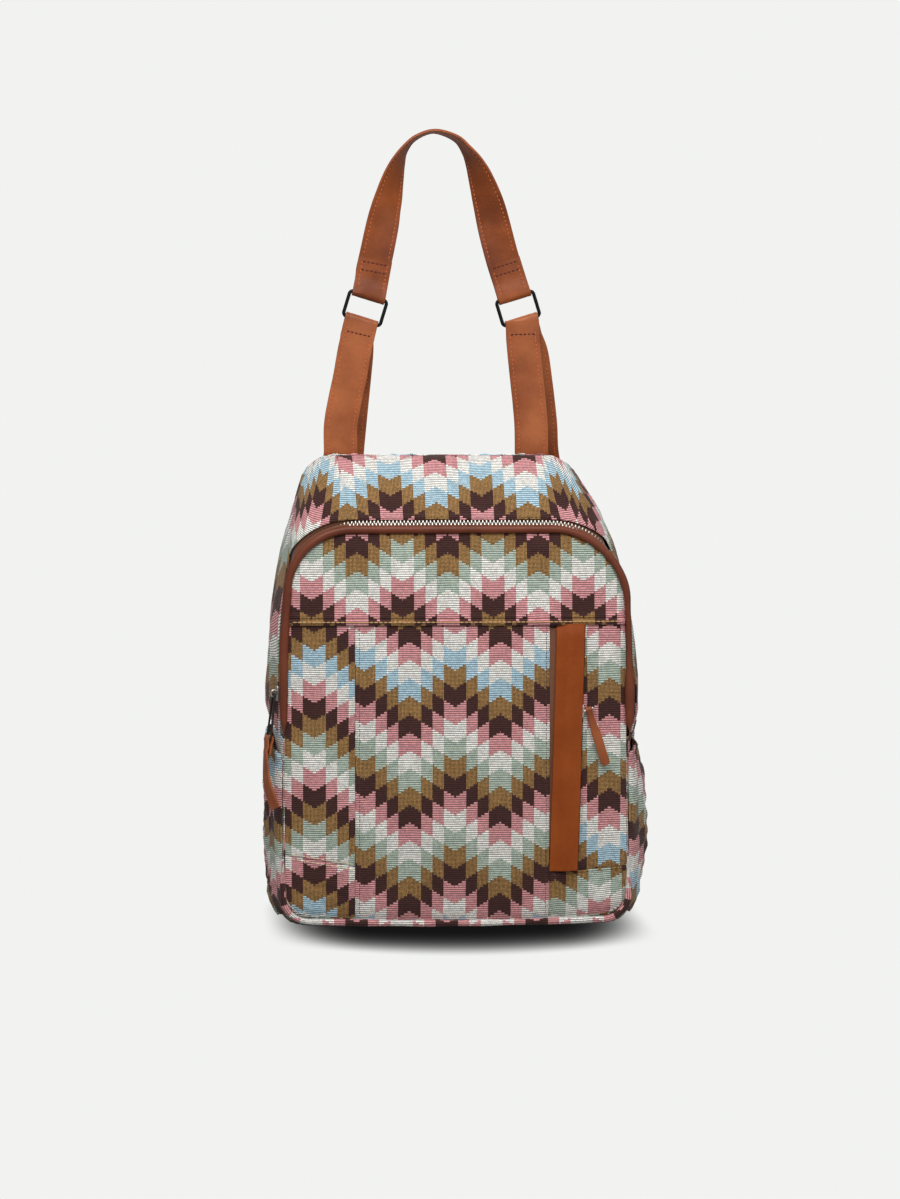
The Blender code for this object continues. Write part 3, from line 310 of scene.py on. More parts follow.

# %% [markdown]
# ## Leather and metal
#
# The tan leather is smooth and a little waxy: fine grain in the bump, slow changes of colour from
# the dye, and edges painted a lighter orange, made brighter still as a painted highlight. The
# handle takes a darker copy of the tan leather as painted shade. The piping's leather is thinner
# and redder. The rings are black-plated wire and the zip is bright, so only their roughness and
# small dents differ.

# %% Leather and metal
def leather(name, light, dark, roughness, grain=1500, gloss=0.28):
    hide = Recipe(name, roughness, Specular_IOR_Level=gloss)
    place = hide.place()
    cloudy = hide.ease(hide.noise(place, 28, 4), 0.25, 0.75)
    pores = hide.node("TexVoronoi", feature="SMOOTH_F1")
    hide.feed(pores, Vector=place, Scale=grain, Smoothness=0.6)
    colour = hide.mix(cloudy, dark, light)
    worn = hide.vary(place, 350, 1.0, 0.24, 3)
    shine = hide.vary(place, 60, roughness, 0.2, 3)
    height = hide.math("ADD", pores.outputs["Distance"], hide.noise(place, grain / 6, 3))
    return hide.finish(hide.scale(colour, worn), height, 0.00009, 0.55, shine)


def metal(name, colour, roughness, dents=700):
    bar = Recipe(name, roughness, 1.0)
    place = bar.place()
    cloudy = bar.vary(place, dents, 1.0, 0.3, 3)
    shine = bar.vary(place, dents / 3, roughness + 0.025, 0.25, 3)
    return bar.finish(bar.scale(colour, cloudy), bar.noise(place, dents, 2), 0.00005, 0.5, shine)


TAN = leather("tan leather", srgb(172, 98, 56), srgb(128, 64, 32), 0.42)
# The handle's leather is the tan leather made darker: painted shade, as the arch's seen side faces down, away
# from the key lamp.
HANDLE_SHADED_LEATHER = leather("shaded handle leather", srgb(156, 82, 40), srgb(106, 50, 22), 0.42)
STRIP = leather("strip leather", srgb(152, 74, 26), srgb(136, 62, 20), 0.55, gloss=0.15)
PIPING = leather("piping leather", srgb(118, 60, 38), srgb(98, 46, 28), 0.45)
# Edge paint, brightened beyond its own colour as a painted highlight; it also reaches a little onto the
# faces.
EDGE_PAINT_AND_HIGHLIGHT = leather("painted edge and highlight", srgb(252, 186, 134), srgb(228, 146, 98), 0.5, 2600)
# Darker leather in the stitching grooves: painted shade.
GROOVE_SHADE = leather("stitched groove shade", srgb(96, 44, 22), srgb(74, 30, 14), 0.6)
BLACK = metal("black plated wire", srgb(40, 42, 44), 0.38)
SILVER = metal("bright metal", srgb(200, 196, 188), 0.30)
TARNISHED = metal("tarnished wire", srgb(72, 66, 60), 0.34)
print("six leathers and three metals")

# %% [markdown]
# ## Thread, tape and plain cloth
#
# Thread, zip tape and lining all show fine crossing bars of yarn. One recipe makes them, from two
# sine waves that cross, and only the colour and the size of the bars change. The foam and the board
# inside, which nobody sees, take it too.

# %% Thread, tape and plain cloth
def yarn(name, colour, roughness=0.75, pitch=7600):
    """Thread and plain weaves: fine bars across two directions, slow changes of shade, and painted shade
    between the bars.
    """
    weave = Recipe(name, roughness, Sheen_Weight=0.2, Specular_IOR_Level=0.3)
    place = weave.place()
    split = weave.node("SeparateXYZ")
    weave.feed(split, Vector=place)
    level = weave.math("ADD", split.outputs[0], split.outputs[1])
    across = weave.math("SINE", weave.math("MULTIPLY", level, pitch))
    along = weave.math("SINE", weave.math("MULTIPLY", split.outputs[2], pitch))
    height = weave.math("MULTIPLY", across, along)
    shade = weave.vary(place, 300, 1.0, 0.3, 3)
    # Painted shade: the colour is a little lighter on the bars and darker between them.
    shade = weave.math("MULTIPLY_ADD", height, 0.05, shade)
    return weave.finish(weave.scale(colour, shade), height, 0.00008, 0.6)


TAPE = yarn("zip tape", srgb(118, 74, 52), 0.8)
CREAM_THREAD = yarn("cream thread", srgb(228, 214, 182), 0.6)
GOLD_THREAD = yarn("gold thread", srgb(206, 160, 106), 0.6)
DARK_THREAD = yarn("dark brown thread", srgb(72, 42, 34), 0.65)
RUST_THREAD = yarn("rust thread", srgb(88, 26, 10), 0.6)
ORANGE_THREAD = yarn("orange thread", srgb(198, 98, 50), 0.6)
LINING = yarn("lining cloth", srgb(120, 108, 98), 0.85)
FOAM = yarn("foam", srgb(196, 192, 184), 0.95, 2800)
BOARD = yarn("stiffening board", srgb(96, 84, 74), 0.85, 2000)
print("five threads, and tape, lining, foam and board")

# %% [markdown]
# ## The studio floor
#
# Soft lamps alone give a paler and wider contact shadow than the photograph shows. So the camera
# sees a colour of its own on the floor: the backdrop's, darkened by a painted shadow, a soft round
# patch under the bag. Other rays meet a plain grey floor, which sends a little light back up.

# %% Studio floor
SHADOW_DENSITY = 2.1
SHADOW_FRONT = (0.197, 0.070)
SHADOW_SIDE = (0.143, 0.068)
SHADOW_BACK = (0.10, 0.04)
SHADOW_ROUND = 3.2
FLOOR_BOUNCE = (0.40, 0.40, 0.39, 1.0)


def studio_floor():
    """The camera sees the backdrop's colour under a soft painted shadow; other rays meet a grey floor."""
    ground = Recipe("studio floor", 0.9, Specular_IOR_Level=0.0)
    tree = ground.tree
    ground.shader.inputs["Base Color"].default_value = FLOOR_BOUNCE
    split = ground.node("SeparateXYZ")
    ground.feed(split, Vector=ground.place())
    x, y = split.outputs[0], split.outputs[1]
    # Painted shadow: darkest under the bag, fading towards the front, the back and the sides.
    forward = ground.math("SUBTRACT", ground.math("MULTIPLY", ground.math("MULTIPLY", x, x), SHADOW_ROUND), y)
    painted_shadow_cover = ground.math("MULTIPLY", ground.ease(forward, *SHADOW_FRONT), ground.ease(y, *SHADOW_BACK))
    painted_shadow_cover = ground.math("MULTIPLY", painted_shadow_cover, ground.ease(ground.math("ABSOLUTE", x), *SHADOW_SIDE))
    density = ground.math("MULTIPLY", painted_shadow_cover, -SHADOW_DENSITY)
    shade = ground.math("POWER", 10.0, density)
    tint = ground.node("Mix", data_type="RGBA", blend_type="MULTIPLY")
    tint.inputs[0].default_value = 1.0
    tree.links.new(shade, tint.inputs[6])
    tint.inputs[7].default_value = BACKDROP
    seen = ground.node("Emission")
    tree.links.new(tint.outputs[2], seen.inputs["Color"])
    rays = ground.node("LightPath")
    both = ground.node("MixShader")
    tree.links.new(rays.outputs["Is Camera Ray"], both.inputs[0])
    tree.links.new(ground.shader.outputs[0], both.inputs[1])
    tree.links.new(seen.outputs[0], both.inputs[2])
    tree.links.new(both.outputs[0], tree.nodes["Material Output"].inputs["Surface"])
    return ground.material


floor.data.materials.append(studio_floor())
print("floor with a shadow of density", SHADOW_DENSITY)

# %% [markdown]
# ## Outlines of the bag
#
# A soft bag is easiest to hold in the mind as two outlines, front and back, and a band between
# them. An outline is made of straight runs and round corners. A station is a number that says how
# far round a spot lies, so that the same station on both outlines gives the two ends of one line
# across the band. The measures are those of the CAD model.

# %% Outlines of the bag
FRONT_HALF_WIDTH = 0.128
FRONT_TOP_HALF_LEFT = 0.1218
FRONT_TOP_HALF_RIGHT = 0.1180
FRONT_SHOULDER_HALF_RIGHT = 0.1218
FRONT_BOTTOM_HALF_RIGHT = 0.1228
FRONT_TOP = 0.288
FRONT_BOTTOM = 0.004
FRONT_TOP_RADIUS_LEFT = 0.044
FRONT_TOP_RADIUS_RIGHT = 0.0515
FRONT_BOTTOM_RADIUS = 0.018
FRONT_SHOULDER = 0.205
FRONT_SHOULDER_CUT = 0.015
BACK_HALF_WIDTH = 0.126
BACK_TOP_HALF_WIDTH = 0.0945
BACK_SHOULDER_HALF_WIDTH = 0.1222
BACK_TOP = 0.342
BACK_BOTTOM = 0.006
BACK_TOP_RADIUS = 0.018
BACK_BOTTOM_RADIUS = 0.022
BACK_SHOULDER = 0.262
BACK_SHOULDER_CUT = 0.045
STATIONS = 14


def conic(start, vertex, end, weight, part):
    """Point of a round corner: a weighted curve from start to end that bends towards the vertex."""
    shares = ((1 - part) ** 2, 2 * part * (1 - part) * weight, part ** 2)
    return (start * shares[0] + vertex * shares[1] + end * shares[2]) / sum(shares)


class Outline:
    """Closed outline: station 0 is the top centre, 7 the bottom centre, 7 to 14 the left side."""

    def __init__(self, top, bottom, right_corners, left_corners):
        self.right = self.half(top, bottom, right_corners)
        self.left = self.half(top, bottom, left_corners)

    def half(self, top, bottom, corners):
        """Marks where straight runs end, with the vertex and the weight of each corner between."""
        vertices = [Vector((x, z)) for x, z, cut in corners]
        ends = [Vector((0, top))] + vertices + [Vector((0, bottom))]
        marks = [ends[0]]
        weights = []
        for number, (x, z, cut) in enumerate(corners, start=1):
            before = (ends[number] - ends[number - 1]).normalized()
            after = (ends[number + 1] - ends[number]).normalized()
            marks += [ends[number] - before * cut, ends[number] + after * cut]
            weights.append(math.cos(before.angle(after) / 2))
        return marks + [ends[-1]], vertices, weights

    def point(self, station):
        station %= STATIONS
        on_right = station <= STATIONS / 2
        marks, vertices, weights = self.right if on_right else self.left
        half = station if on_right else STATIONS - station
        segment = min(int(half), len(marks) - 2)
        part = half - segment
        start = marks[segment]
        end = marks[segment + 1]
        if segment % 2 == 0:
            found = start.lerp(end, part)
        else:
            found = conic(start, vertices[segment // 2], end, weights[segment // 2], part)
        return Vector((found.x if on_right else -found.x, found.y))

    def points(self, stations):
        return np.array([self.point(station) for station in stations])

    def normals(self, stations):
        return np.array([self.normal(station) for station in stations])

    def normal(self, station):
        along = self.point(station + 0.01) - self.point(station - 0.01)
        return Vector((-along.y, along.x)).normalized()

    def inset(self, station, distance):
        return self.point(station) - self.normal(station) * distance

    def station_at(self, z, distance=0.0, side=1):
        """Station of a height on one side, found by halving."""
        high, low = 1.0, 6.0
        for _ in range(30):
            middle = (high + low) / 2
            if self.inset(side * middle, distance).y > z:
                high = middle
            else:
                low = middle
        return (high + low) / 2

    def width_at(self, z, distance=0.0, side=1):
        return abs(self.inset(side * self.station_at(z, distance, side), distance).x)


def front_corners(top_half_width, top_radius, shoulder_half_width, bottom_half_width):
    return ((top_half_width, FRONT_TOP, top_radius),
            (shoulder_half_width, FRONT_SHOULDER, FRONT_SHOULDER_CUT),
            (bottom_half_width, FRONT_BOTTOM, FRONT_BOTTOM_RADIUS))


BACK_CORNERS = ((BACK_TOP_HALF_WIDTH, BACK_TOP, BACK_TOP_RADIUS),
                (BACK_SHOULDER_HALF_WIDTH, BACK_SHOULDER, BACK_SHOULDER_CUT),
                (BACK_HALF_WIDTH, BACK_BOTTOM, BACK_BOTTOM_RADIUS))
FRONT_CORNERS_RIGHT = front_corners(FRONT_TOP_HALF_RIGHT, FRONT_TOP_RADIUS_RIGHT, FRONT_SHOULDER_HALF_RIGHT,
                                    FRONT_BOTTOM_HALF_RIGHT)
FRONT_CORNERS_LEFT = front_corners(FRONT_TOP_HALF_LEFT, FRONT_TOP_RADIUS_LEFT, FRONT_HALF_WIDTH,
                                   FRONT_HALF_WIDTH)
FRONT = Outline(FRONT_TOP, FRONT_BOTTOM, FRONT_CORNERS_RIGHT, FRONT_CORNERS_LEFT)
BACK = Outline(BACK_TOP, BACK_BOTTOM, BACK_CORNERS, BACK_CORNERS)
ZIP_END = 0.137
ZIP_STATION = FRONT.station_at(ZIP_END)
print("two outlines; the zip ends at station", round(ZIP_STATION, 3))

# %% [markdown]
# ## Surfaces of the bag
#
# Every piece of cloth lies on one of three surfaces: the crowned front, the back that leans
# forward, or the band. The functions are those of the CAD model, so that the dressed piece sits
# exactly where its solid does. They take whole arrays at once, which keeps fine grids quick.

# %% Surfaces of the bag
FRONT_DEPTH = 0.057
FRONT_CROWN = 0.009
FRONT_CORNER_RISE = 0.007
FRONT_RISE_HEIGHT = 0.060
BACK_DEPTH = 0.046
BACK_LEAN = 0.062
BACK_CROWN = 0.003
BACK_SHIFT = -0.013
GUSSET_EASE_UP = 1.7
GUSSET_EASE_IN = 1.8
GUSSET_SWELL = (0.0, 0.0, 0.003, 0.0045, 0.0055, 0.0065, 0.016, 0.020)


def crown(x, z, half_width, top, bottom, height):
    """How far a panel stands out: most in its middle, nothing at its edges."""
    across = np.minimum(np.abs(x) / half_width, 1.0)
    upward = np.minimum(np.abs(2 * z - top - bottom) / (top - bottom), 1.0)
    return height * (1 - across ** 2.4) * (1 - upward ** 2.6)


def front_points(x, z, lift=0.0):
    x, z = np.broadcast_arrays(np.asarray(x, float), np.asarray(z, float))
    out = crown(x, z, FRONT_HALF_WIDTH, FRONT_TOP, FRONT_BOTTOM, FRONT_CROWN) + lift
    near_base = np.maximum(0.0, 1 - (z - FRONT_BOTTOM) / FRONT_RISE_HEIGHT)
    rise = FRONT_CORNER_RISE * (x / FRONT_HALF_WIDTH) ** 2 * near_base
    return np.stack([x, -FRONT_DEPTH - out, z + rise], axis=-1)


def back_plane(z):
    return BACK_DEPTH - BACK_LEAN * z / BACK_TOP


def back_shift(z):
    return BACK_SHIFT * np.maximum(z / BACK_TOP, 0.0) ** 2


def back_points(x, z, lift=0.0):
    x, z = np.broadcast_arrays(np.asarray(x, float), np.asarray(z, float))
    out = crown(x, z, BACK_HALF_WIDTH, BACK_TOP, BACK_BOTTOM, BACK_CROWN) + lift
    return np.stack([x + back_shift(z), back_plane(z) + out, z], axis=-1)


def swell(station):
    half = station % STATIONS
    half = min(half, STATIONS - half)
    return float(np.interp(half, range(len(GUSSET_SWELL)), GUSSET_SWELL))


def gusset_points(stations, depths):
    """Points of the band; one column to a station, one row to a depth from 0, front, to 1, back."""
    front = FRONT.points(stations)
    back = BACK.points(stations)
    out = np.array([FRONT.normal(station) * swell(station) for station in stations])
    start = front_points(front[:, 0], front[:, 1])
    end = back_points(back[:, 0], back[:, 1])
    bulge = 4 * depths * (1 - depths)
    inward = 1 - (1 - depths) ** GUSSET_EASE_IN
    upward = 1 - (1 - depths) ** GUSSET_EASE_UP
    x = start[:, 0] + (end[:, 0] - start[:, 0]) * inward + out[:, 0] * bulge
    y = start[:, 1] + (end[:, 1] - start[:, 1]) * depths
    z = start[:, 2] + (end[:, 2] - start[:, 2]) * upward + out[:, 1] * bulge
    return np.stack([x, y, np.maximum(z, 0.0)], axis=-1)


def unit(vectors):
    return vectors / np.maximum(np.linalg.norm(vectors, axis=-1, keepdims=True), 1e-12)


def run_along(points):
    """Length from the first point to each of a line of points."""
    return np.concatenate([[0], np.cumsum(np.linalg.norm(np.diff(points, axis=0), axis=1))])


def gusset_normals(stations, depths, step=0.01):
    stations = np.asarray(stations)
    along = gusset_points(stations + step, depths) - gusset_points(stations - step, depths)
    farther = gusset_points(stations, np.minimum(depths + step, 1))
    nearer = gusset_points(stations, np.maximum(depths - step, 0))
    return unit(np.cross(along, farther - nearer))


def depths_at(stations, distance):
    """Depth at a distance over the cloth from the front seam, or from the back one if negative."""
    stations = np.asarray(stations, float)
    samples = np.linspace(0, 1, 61)[:, None] * np.ones(len(stations))
    points = gusset_points(stations, samples)
    start = np.zeros((1, len(stations)))
    marks = np.vstack([start, np.cumsum(np.linalg.norm(np.diff(points, axis=0), axis=2), axis=0)])
    ahead = unit(gusset_points(stations + 0.01, start)[0] - gusset_points(stations - 0.01, start)[0])
    slant = np.linalg.norm(np.cross(ahead, unit(points[1] - points[0])), axis=1)
    wanted = distance / slant if distance >= 0 else marks[-1] + distance
    return np.array([np.interp(want, marks[:, n], samples[:, n]) for n, want in enumerate(wanted)])


def place_on_band(station, distance):
    """Point and outward direction at one spot of the band."""
    stations = np.array([station])
    depth = depths_at(stations, distance)[None, :]
    return Vector(gusset_points(stations, depth)[0, 0]), Vector(gusset_normals(stations, depth)[0, 0])


print("surfaces; the middle of the front lies at y", round(float(front_points(0.0, FRONT_TOP / 2)[1]), 4))

# %% [markdown]
# ## Patches of cloth
#
# Cloth is made here as it is cut: a flat grid with its own measure in millimetres, laid on the
# bag's surface. A patch holds the grid's points, the outward directions and the cloth's own
# measure, and knows how far each point is from its four edges. Rows crowd together near seams,
# where the shape turns.

# %% Patches of cloth
def steps(length, low=0.0, high=0.0, fine=0.0007, coarse=0.0024):
    """Shares from 0 to 1 along a length, closer together near either end."""
    count = max(int((length - low - high) / coarse), 1)
    marks = list(np.linspace(low, length - high, count + 1))
    if low:
        marks = list(np.linspace(0, low, int(low / fine) + 1))[:-1] + marks
    if high:
        marks = marks + list(np.linspace(length - high, length, int(high / fine) + 1))[1:]
    return np.array(marks) / length


class Patch:
    """Grid of points on the bag, with outward directions and cloth coordinates in millimetres."""

    def __init__(self, points, normals, cloth):
        self.points = points
        self.normals = normals
        self.cloth = cloth
        across = np.cumsum(np.linalg.norm(np.diff(points, axis=1), axis=2), axis=1)
        along = np.cumsum(np.linalg.norm(np.diff(points, axis=0), axis=2), axis=0)
        self.left = np.hstack([np.zeros((len(points), 1)), across])
        self.low = np.vstack([np.zeros((1, points.shape[1])), along])
        self.right = self.left[:, -1:] - self.left
        self.high = self.low[-1:] - self.low

    def size(self):
        """Width, length and area of the cloth."""
        across = np.diff(self.points, axis=1)[:-1]
        along = np.diff(self.points, axis=0)[:, :-1]
        area = np.linalg.norm(np.cross(across, along), axis=2).sum()
        return self.left[:, -1].max(), self.low[-1].max(), area


def panel(surface, left, right, low, high, columns, rows, cut):
    """Patch between seams: left and right give x at a height, low and high are (z left, z right).

    The cut is (sign, x centre, z centre, scale) of the cloth's pattern.
    """
    across = np.asarray(columns)
    low_edge = low[0] + (low[1] - low[0]) * across
    high_edge = high[0] + (high[1] - high[0]) * across
    z = low_edge + (high_edge - low_edge) * np.asarray(rows)[:, None]
    middle = z[:, len(across) // 2]
    starts = np.array([left(value) for value in middle])[:, None]
    ends = np.array([right(value) for value in middle])[:, None]
    x = starts + (ends - starts) * across
    out = 1 if surface is back_points else -1
    points = surface(x, z)
    patch = Patch(points, np.broadcast_to(np.array([0.0, out, 0.0]), points.shape), pattern(x, z, cut))
    patch.x, patch.z = x, z
    return patch


PLAIN_CUT = (1, 0, 0, 1.0)


def pattern(x, z, cut):
    """Cloth coordinates in millimetres from places in metres."""
    sign, centre_x, centre_z, scale = cut
    return np.stack([sign * (x * 1000 - centre_x), sign * (z * 1000 - centre_z) * scale], axis=-1)


def even_stations(start, end, pitch):
    """Stations at even steps over the front outline."""
    tries = np.linspace(start, end, 600)
    marks = run_along(FRONT.points(tries))
    return np.interp(np.linspace(0, marks[-1], int(marks[-1] / pitch) + 1), marks, tries)


FINE_EDGE = 0.004
TURN_WIDTH = 0.12


def clamp(values):
    """Values kept between 0 and 1."""
    return np.clip(values, 0, 1)


def band(stations, start, end, rows, cut, lift=None):
    """Patch of the band from one distance to another; its cloth keeps the front's upright columns."""
    first = depths_at(stations, start)
    last = depths_at(stations, end)
    depths = first + (last - first) * np.asarray(rows)[:, None]
    points = gusset_points(stations, depths)
    normals = gusset_normals(stations, depths)
    if lift is not None:
        along = np.linspace(0, 1, len(stations))[None, :]
        points = points + normals * lift(along, np.asarray(rows)[:, None])[..., None]
    front = FRONT.points(stations)
    normal = FRONT.normals(stations)
    upward = 1 - clamp(np.abs(front[:, 0]) / TURN_WIDTH) ** 2
    moves = np.diff(points, axis=0)
    over_top = np.hypot(moves[..., 1], moves[..., 2]) * np.sign(normal[:, 1])
    round_side = np.hypot(moves[..., 0], moves[..., 1]) * np.sign(normal[:, 0])
    u = moves[..., 0] * upward + round_side * (1 - upward)
    v = over_top * upward + moves[..., 2] * (1 - upward)
    still = np.zeros((1, len(stations)))
    first = front + normal * max(start, 0)
    u = first[:, 0] + np.vstack([still, np.cumsum(u, axis=0)])
    v = first[:, 1] + np.vstack([still, np.cumsum(v, axis=0)])
    return Patch(points, normals, pattern(u, v, cut))


print("patch helpers for panels and for the band")

# %% [markdown]
# ## Relief of the cloth
#
# The relief is what makes it cloth: it dips into every seam, puckers along the stitching, rolls
# over at hems, and carries slow waves and small creases. These are written as functions of the
# distance to each seam, which is quicker and steadier here than a cloth simulation of forty sewn
# edges.

# %% Relief of the cloth
def waves(u, v, size, seed, count=7):
    """Irregular waves of about one size, from -1 to 1; u and v are in the size's unit."""
    draw = np.random.default_rng(seed)
    total = 0
    for _ in range(count):
        angle = draw.uniform(0, 2 * math.pi)
        pitch = size * draw.uniform(0.65, 1.6)
        total = total + np.sin((u * math.cos(angle) + v * math.sin(angle)) * 2 * math.pi / pitch
                               + draw.uniform(0, 2 * math.pi))
    return total / count ** 0.5


def near(distance, reach):
    """1 at a seam, falling to 0 within the reach."""
    return np.exp(-(distance / reach) ** 2 * 2)


PUCKER_PITCH = 0.0062
PUCKER_DRIFT = 0.031
PUCKER_REACH = 0.008
PUCKER_START = 0.003


def seam(distance, along, seed, depth=0.0011, reach=0.0032, pucker=0.00030):
    """Cloth dips into a seam and puckers beside it."""
    shift = np.random.default_rng(seed).uniform(0, 6)
    drift = 2 * np.sin(along * 2 * math.pi / PUCKER_DRIFT + shift)
    gathers = np.sin(along * 2 * math.pi / PUCKER_PITCH + drift)
    fade = np.exp(-distance / PUCKER_REACH)
    dip = -depth * near(distance, reach)
    return dip + pucker * fade * gathers * (1 - near(distance, PUCKER_START))


print("relief helpers; puckers come every", PUCKER_PITCH, "m")

# %% [markdown]
# ## From a patch to a finished piece
#
# A patch becomes a mesh by way of Blender's grid: it is added with the right count of rows and
# columns, and its points are then put in place. A Solidify modifier gives it a thickness inwards,
# and a Bevel rounds the open edges. Every piece is finished the same way: smooth shading,
# materials, the body that it rides on and the CAD nodes that it replaces.

# %% From a patch to a finished piece
def grid_object(name, points, cloth):
    """Mesh of a grid of points, with the cloth's measure as its UV map."""
    rows, columns = points.shape[:2]
    bpy.ops.mesh.primitive_grid_add(x_subdivisions=columns - 1, y_subdivisions=rows - 1, size=1)
    piece = bpy.context.object
    piece.name = name
    mesh = piece.data
    mesh.name = name
    mesh.vertices.foreach_set("co", np.ascontiguousarray(points, np.float32).ravel())
    corners = np.empty(len(mesh.loops), np.int32)
    mesh.loops.foreach_get("vertex_index", corners)
    mesh.uv_layers.active.data.foreach_set("uv", cloth.reshape(-1, 2)[corners].astype(np.float32).ravel())
    mesh.update()
    return piece


def shape(piece, wall=0.0, edge=0.0, segments=2, angle=60):
    """Apply a wall that grows inwards and a bevel of the edges sharper than the angle."""
    if wall:
        solid = piece.modifiers.new("wall", "SOLIDIFY")
        solid.thickness = wall
        solid.offset = -1
    if edge:
        bevel = piece.modifiers.new("edge", "BEVEL")
        bevel.width = edge
        bevel.segments = segments
        bevel.limit_method = "ANGLE"
        bevel.angle_limit = math.radians(angle)
    bpy.context.view_layer.objects.active = piece
    for modifier in list(piece.modifiers):
        bpy.ops.object.modifier_apply(modifier=modifier.name)


def select(pieces):
    """Select these pieces alone and make the first one active."""
    bpy.ops.object.select_all(action="DESELECT")
    for piece in pieces:
        piece.select_set(True)
    bpy.context.view_layer.objects.active = pieces[0]


def finish(piece, materials, body="bag", replaces=(), angle=45):
    """Smooth shading, materials, the body that the piece rides on, and hiding the CAD nodes it replaces."""
    select([piece])
    bpy.ops.object.shade_smooth_by_angle(angle=math.radians(angle))
    piece.data.materials.clear()
    for material in materials:
        piece.data.materials.append(material)
    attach(piece, body)
    if replaces:
        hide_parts(*replaces)
    piece.select_set(False)


SEWN_CLOTH = 0.0010


def raised(name, patch, relief):
    """A patch as a piece, pushed out by its relief."""
    return grid_object(name, patch.points + patch.normals * relief[..., None], patch.cloth)


def cloth_piece(name, patch, relief, thickness=SEWN_CLOTH, bevel=0.0, replaces=True):
    """One cut of cloth: the patch with its relief and a thickness inwards; its flat size is worked out and
    not used.
    """
    piece = raised("cloth_" + name, patch, relief)
    shape(piece, thickness, bevel)
    finish(piece, [WOVEN], replaces=[name] if replaces else (), angle=60)
    width, length, area = patch.size()


# %% [markdown]
# ## Seams of the front
#
# Six cuts of cloth make the front: a yoke, a centre panel, and a column and a corner on each side.
# Each seam is a straight line across or down the panel, slanted a little where the photograph
# shows it so. Distances to the outline are measured to the curve itself, so that the cloth's dip
# follows the round corners.

# %% Seams of the front
CLEARANCE = 0.0003
YOKE_HEM = 0.2192
LEFT_SEAM = -0.076
RIGHT_SEAM = 0.0645
LEFT_CORNER_SEAM = (0.0518, 0.0446)
RIGHT_CORNER_SEAM = (0.0389, 0.0418)
CORNER_SEAM_REACH = 0.125
SEAM_INSET = 0.0003
STRIP_WIDTH = 0.0203
STRIP_TOP_LEFT = 0.0695
STRIP_FOOT_LEFT = 0.0644
TUCK = 0.0015
outline_marks = FRONT.points(np.linspace(0, STATIONS, 700)[:-1])
outline_run = run_along(outline_marks)


def to_outline(x, z):
    """Distance to the front outline and how far round it the nearest spot is."""
    spots = np.stack([x.ravel(), z.ravel()], axis=1)
    distances, runs = [], []
    for part in np.array_split(spots, len(spots) // 2000 + 1):
        gap_shades = np.linalg.norm(part[:, None] - outline_marks[None], axis=2)
        distances.append(gap_shades.min(axis=1))
        runs.append(outline_run[gap_shades.argmin(axis=1)])
    return np.concatenate(distances).reshape(x.shape), np.concatenate(runs).reshape(x.shape)


def seam_inset(z):
    """The panel runs under the piping above the zip's ends, and to the side seam below them."""
    blend = min(max((z - ZIP_END + 0.020) / 0.010, 0.0), 1.0)
    return SEAM_INSET + (TUCK - SEAM_INSET) * blend


def front_edge(side):
    """Function that gives the panel's edge on one side at a height."""
    def edge(z):
        inset = seam_inset(z)
        return side * FRONT.width_at(max(z, FRONT_BOTTOM + inset), inset, side)
    return edge


def right_corner_seam(x):
    inner, outer = RIGHT_CORNER_SEAM
    return inner + (outer - inner) * (x - RIGHT_SEAM) / (CORNER_SEAM_REACH - RIGHT_SEAM)


def left_corner_seam(x):
    outer, inner = LEFT_CORNER_SEAM
    return inner + (outer - inner) * (LEFT_SEAM - x) / (CORNER_SEAM_REACH + LEFT_SEAM)


def strip_left(z):
    part = (YOKE_HEM - z) / (YOKE_HEM - RIGHT_CORNER_SEAM[0])
    return STRIP_TOP_LEFT + (STRIP_FOOT_LEFT - STRIP_TOP_LEFT) * part


def strip_right(z):
    return strip_left(z) + STRIP_WIDTH


def fixed(x):
    return lambda z: x


print("front seams at x", LEFT_SEAM, "and", RIGHT_SEAM, "and z", YOKE_HEM)

# %% [markdown]
# ## Relief of the front
#
# Over the whole front run slow waves and upright ripples, with creases at the two lower corners,
# where the base pulls. The yoke's lower edge is a fold that stands up, rounds over and is stitched
# down in a groove.

# %% Relief of the front
HEM_ROLL = 0.0042
HEM_GROOVE = 0.0046
HEM_SETTLE = 0.0045
CORNER_CREASES = (0.112, 0.020, 0.026)
CALM_EDGE = 0.012
PIPING_COVER = 0.0008
OUTLINE_SEAM = (0.0014, 0.0042)
FLAT_SEAM = (0.0006, 0.0022, 0.00022)


def front_wrinkles(x, z):
    """Slow waves over the whole front, upright ripples, and creases at the lower corners."""
    slow = 0.0009 + 0.0006 * waves(x, z, 0.085, 3)
    upright = 0.00035 * waves(x, z * 0.25, 0.020, 5)
    small = 0.00012 * waves(x, z, 0.009, 8)
    corner_x, corner_z, reach = CORNER_CREASES
    corner_left, corner_right = (np.exp(-((x - side * corner_x) ** 2 + (z - corner_z) ** 2) / reach ** 2)
                                 for side in (-1, 1))
    creases = 0.0007 * (corner_left * waves(x + z, (z - x) * 0.3, 0.011, 11)
                        + corner_right * waves(x - z, (z + x) * 0.3, 0.011, 12))
    return slow + upright + small + creases


def front_relief(patch, seams=()):
    distance, run = to_outline(patch.x, patch.z)
    relief = front_wrinkles(patch.x, patch.z) * clamp(distance / CALM_EDGE)
    relief += seam(np.maximum(distance - PIPING_COVER, 0), run, 21, *OUTLINE_SEAM)
    for gap, along, seed in seams:
        relief += seam(gap, along, seed, *FLAT_SEAM)
    return relief


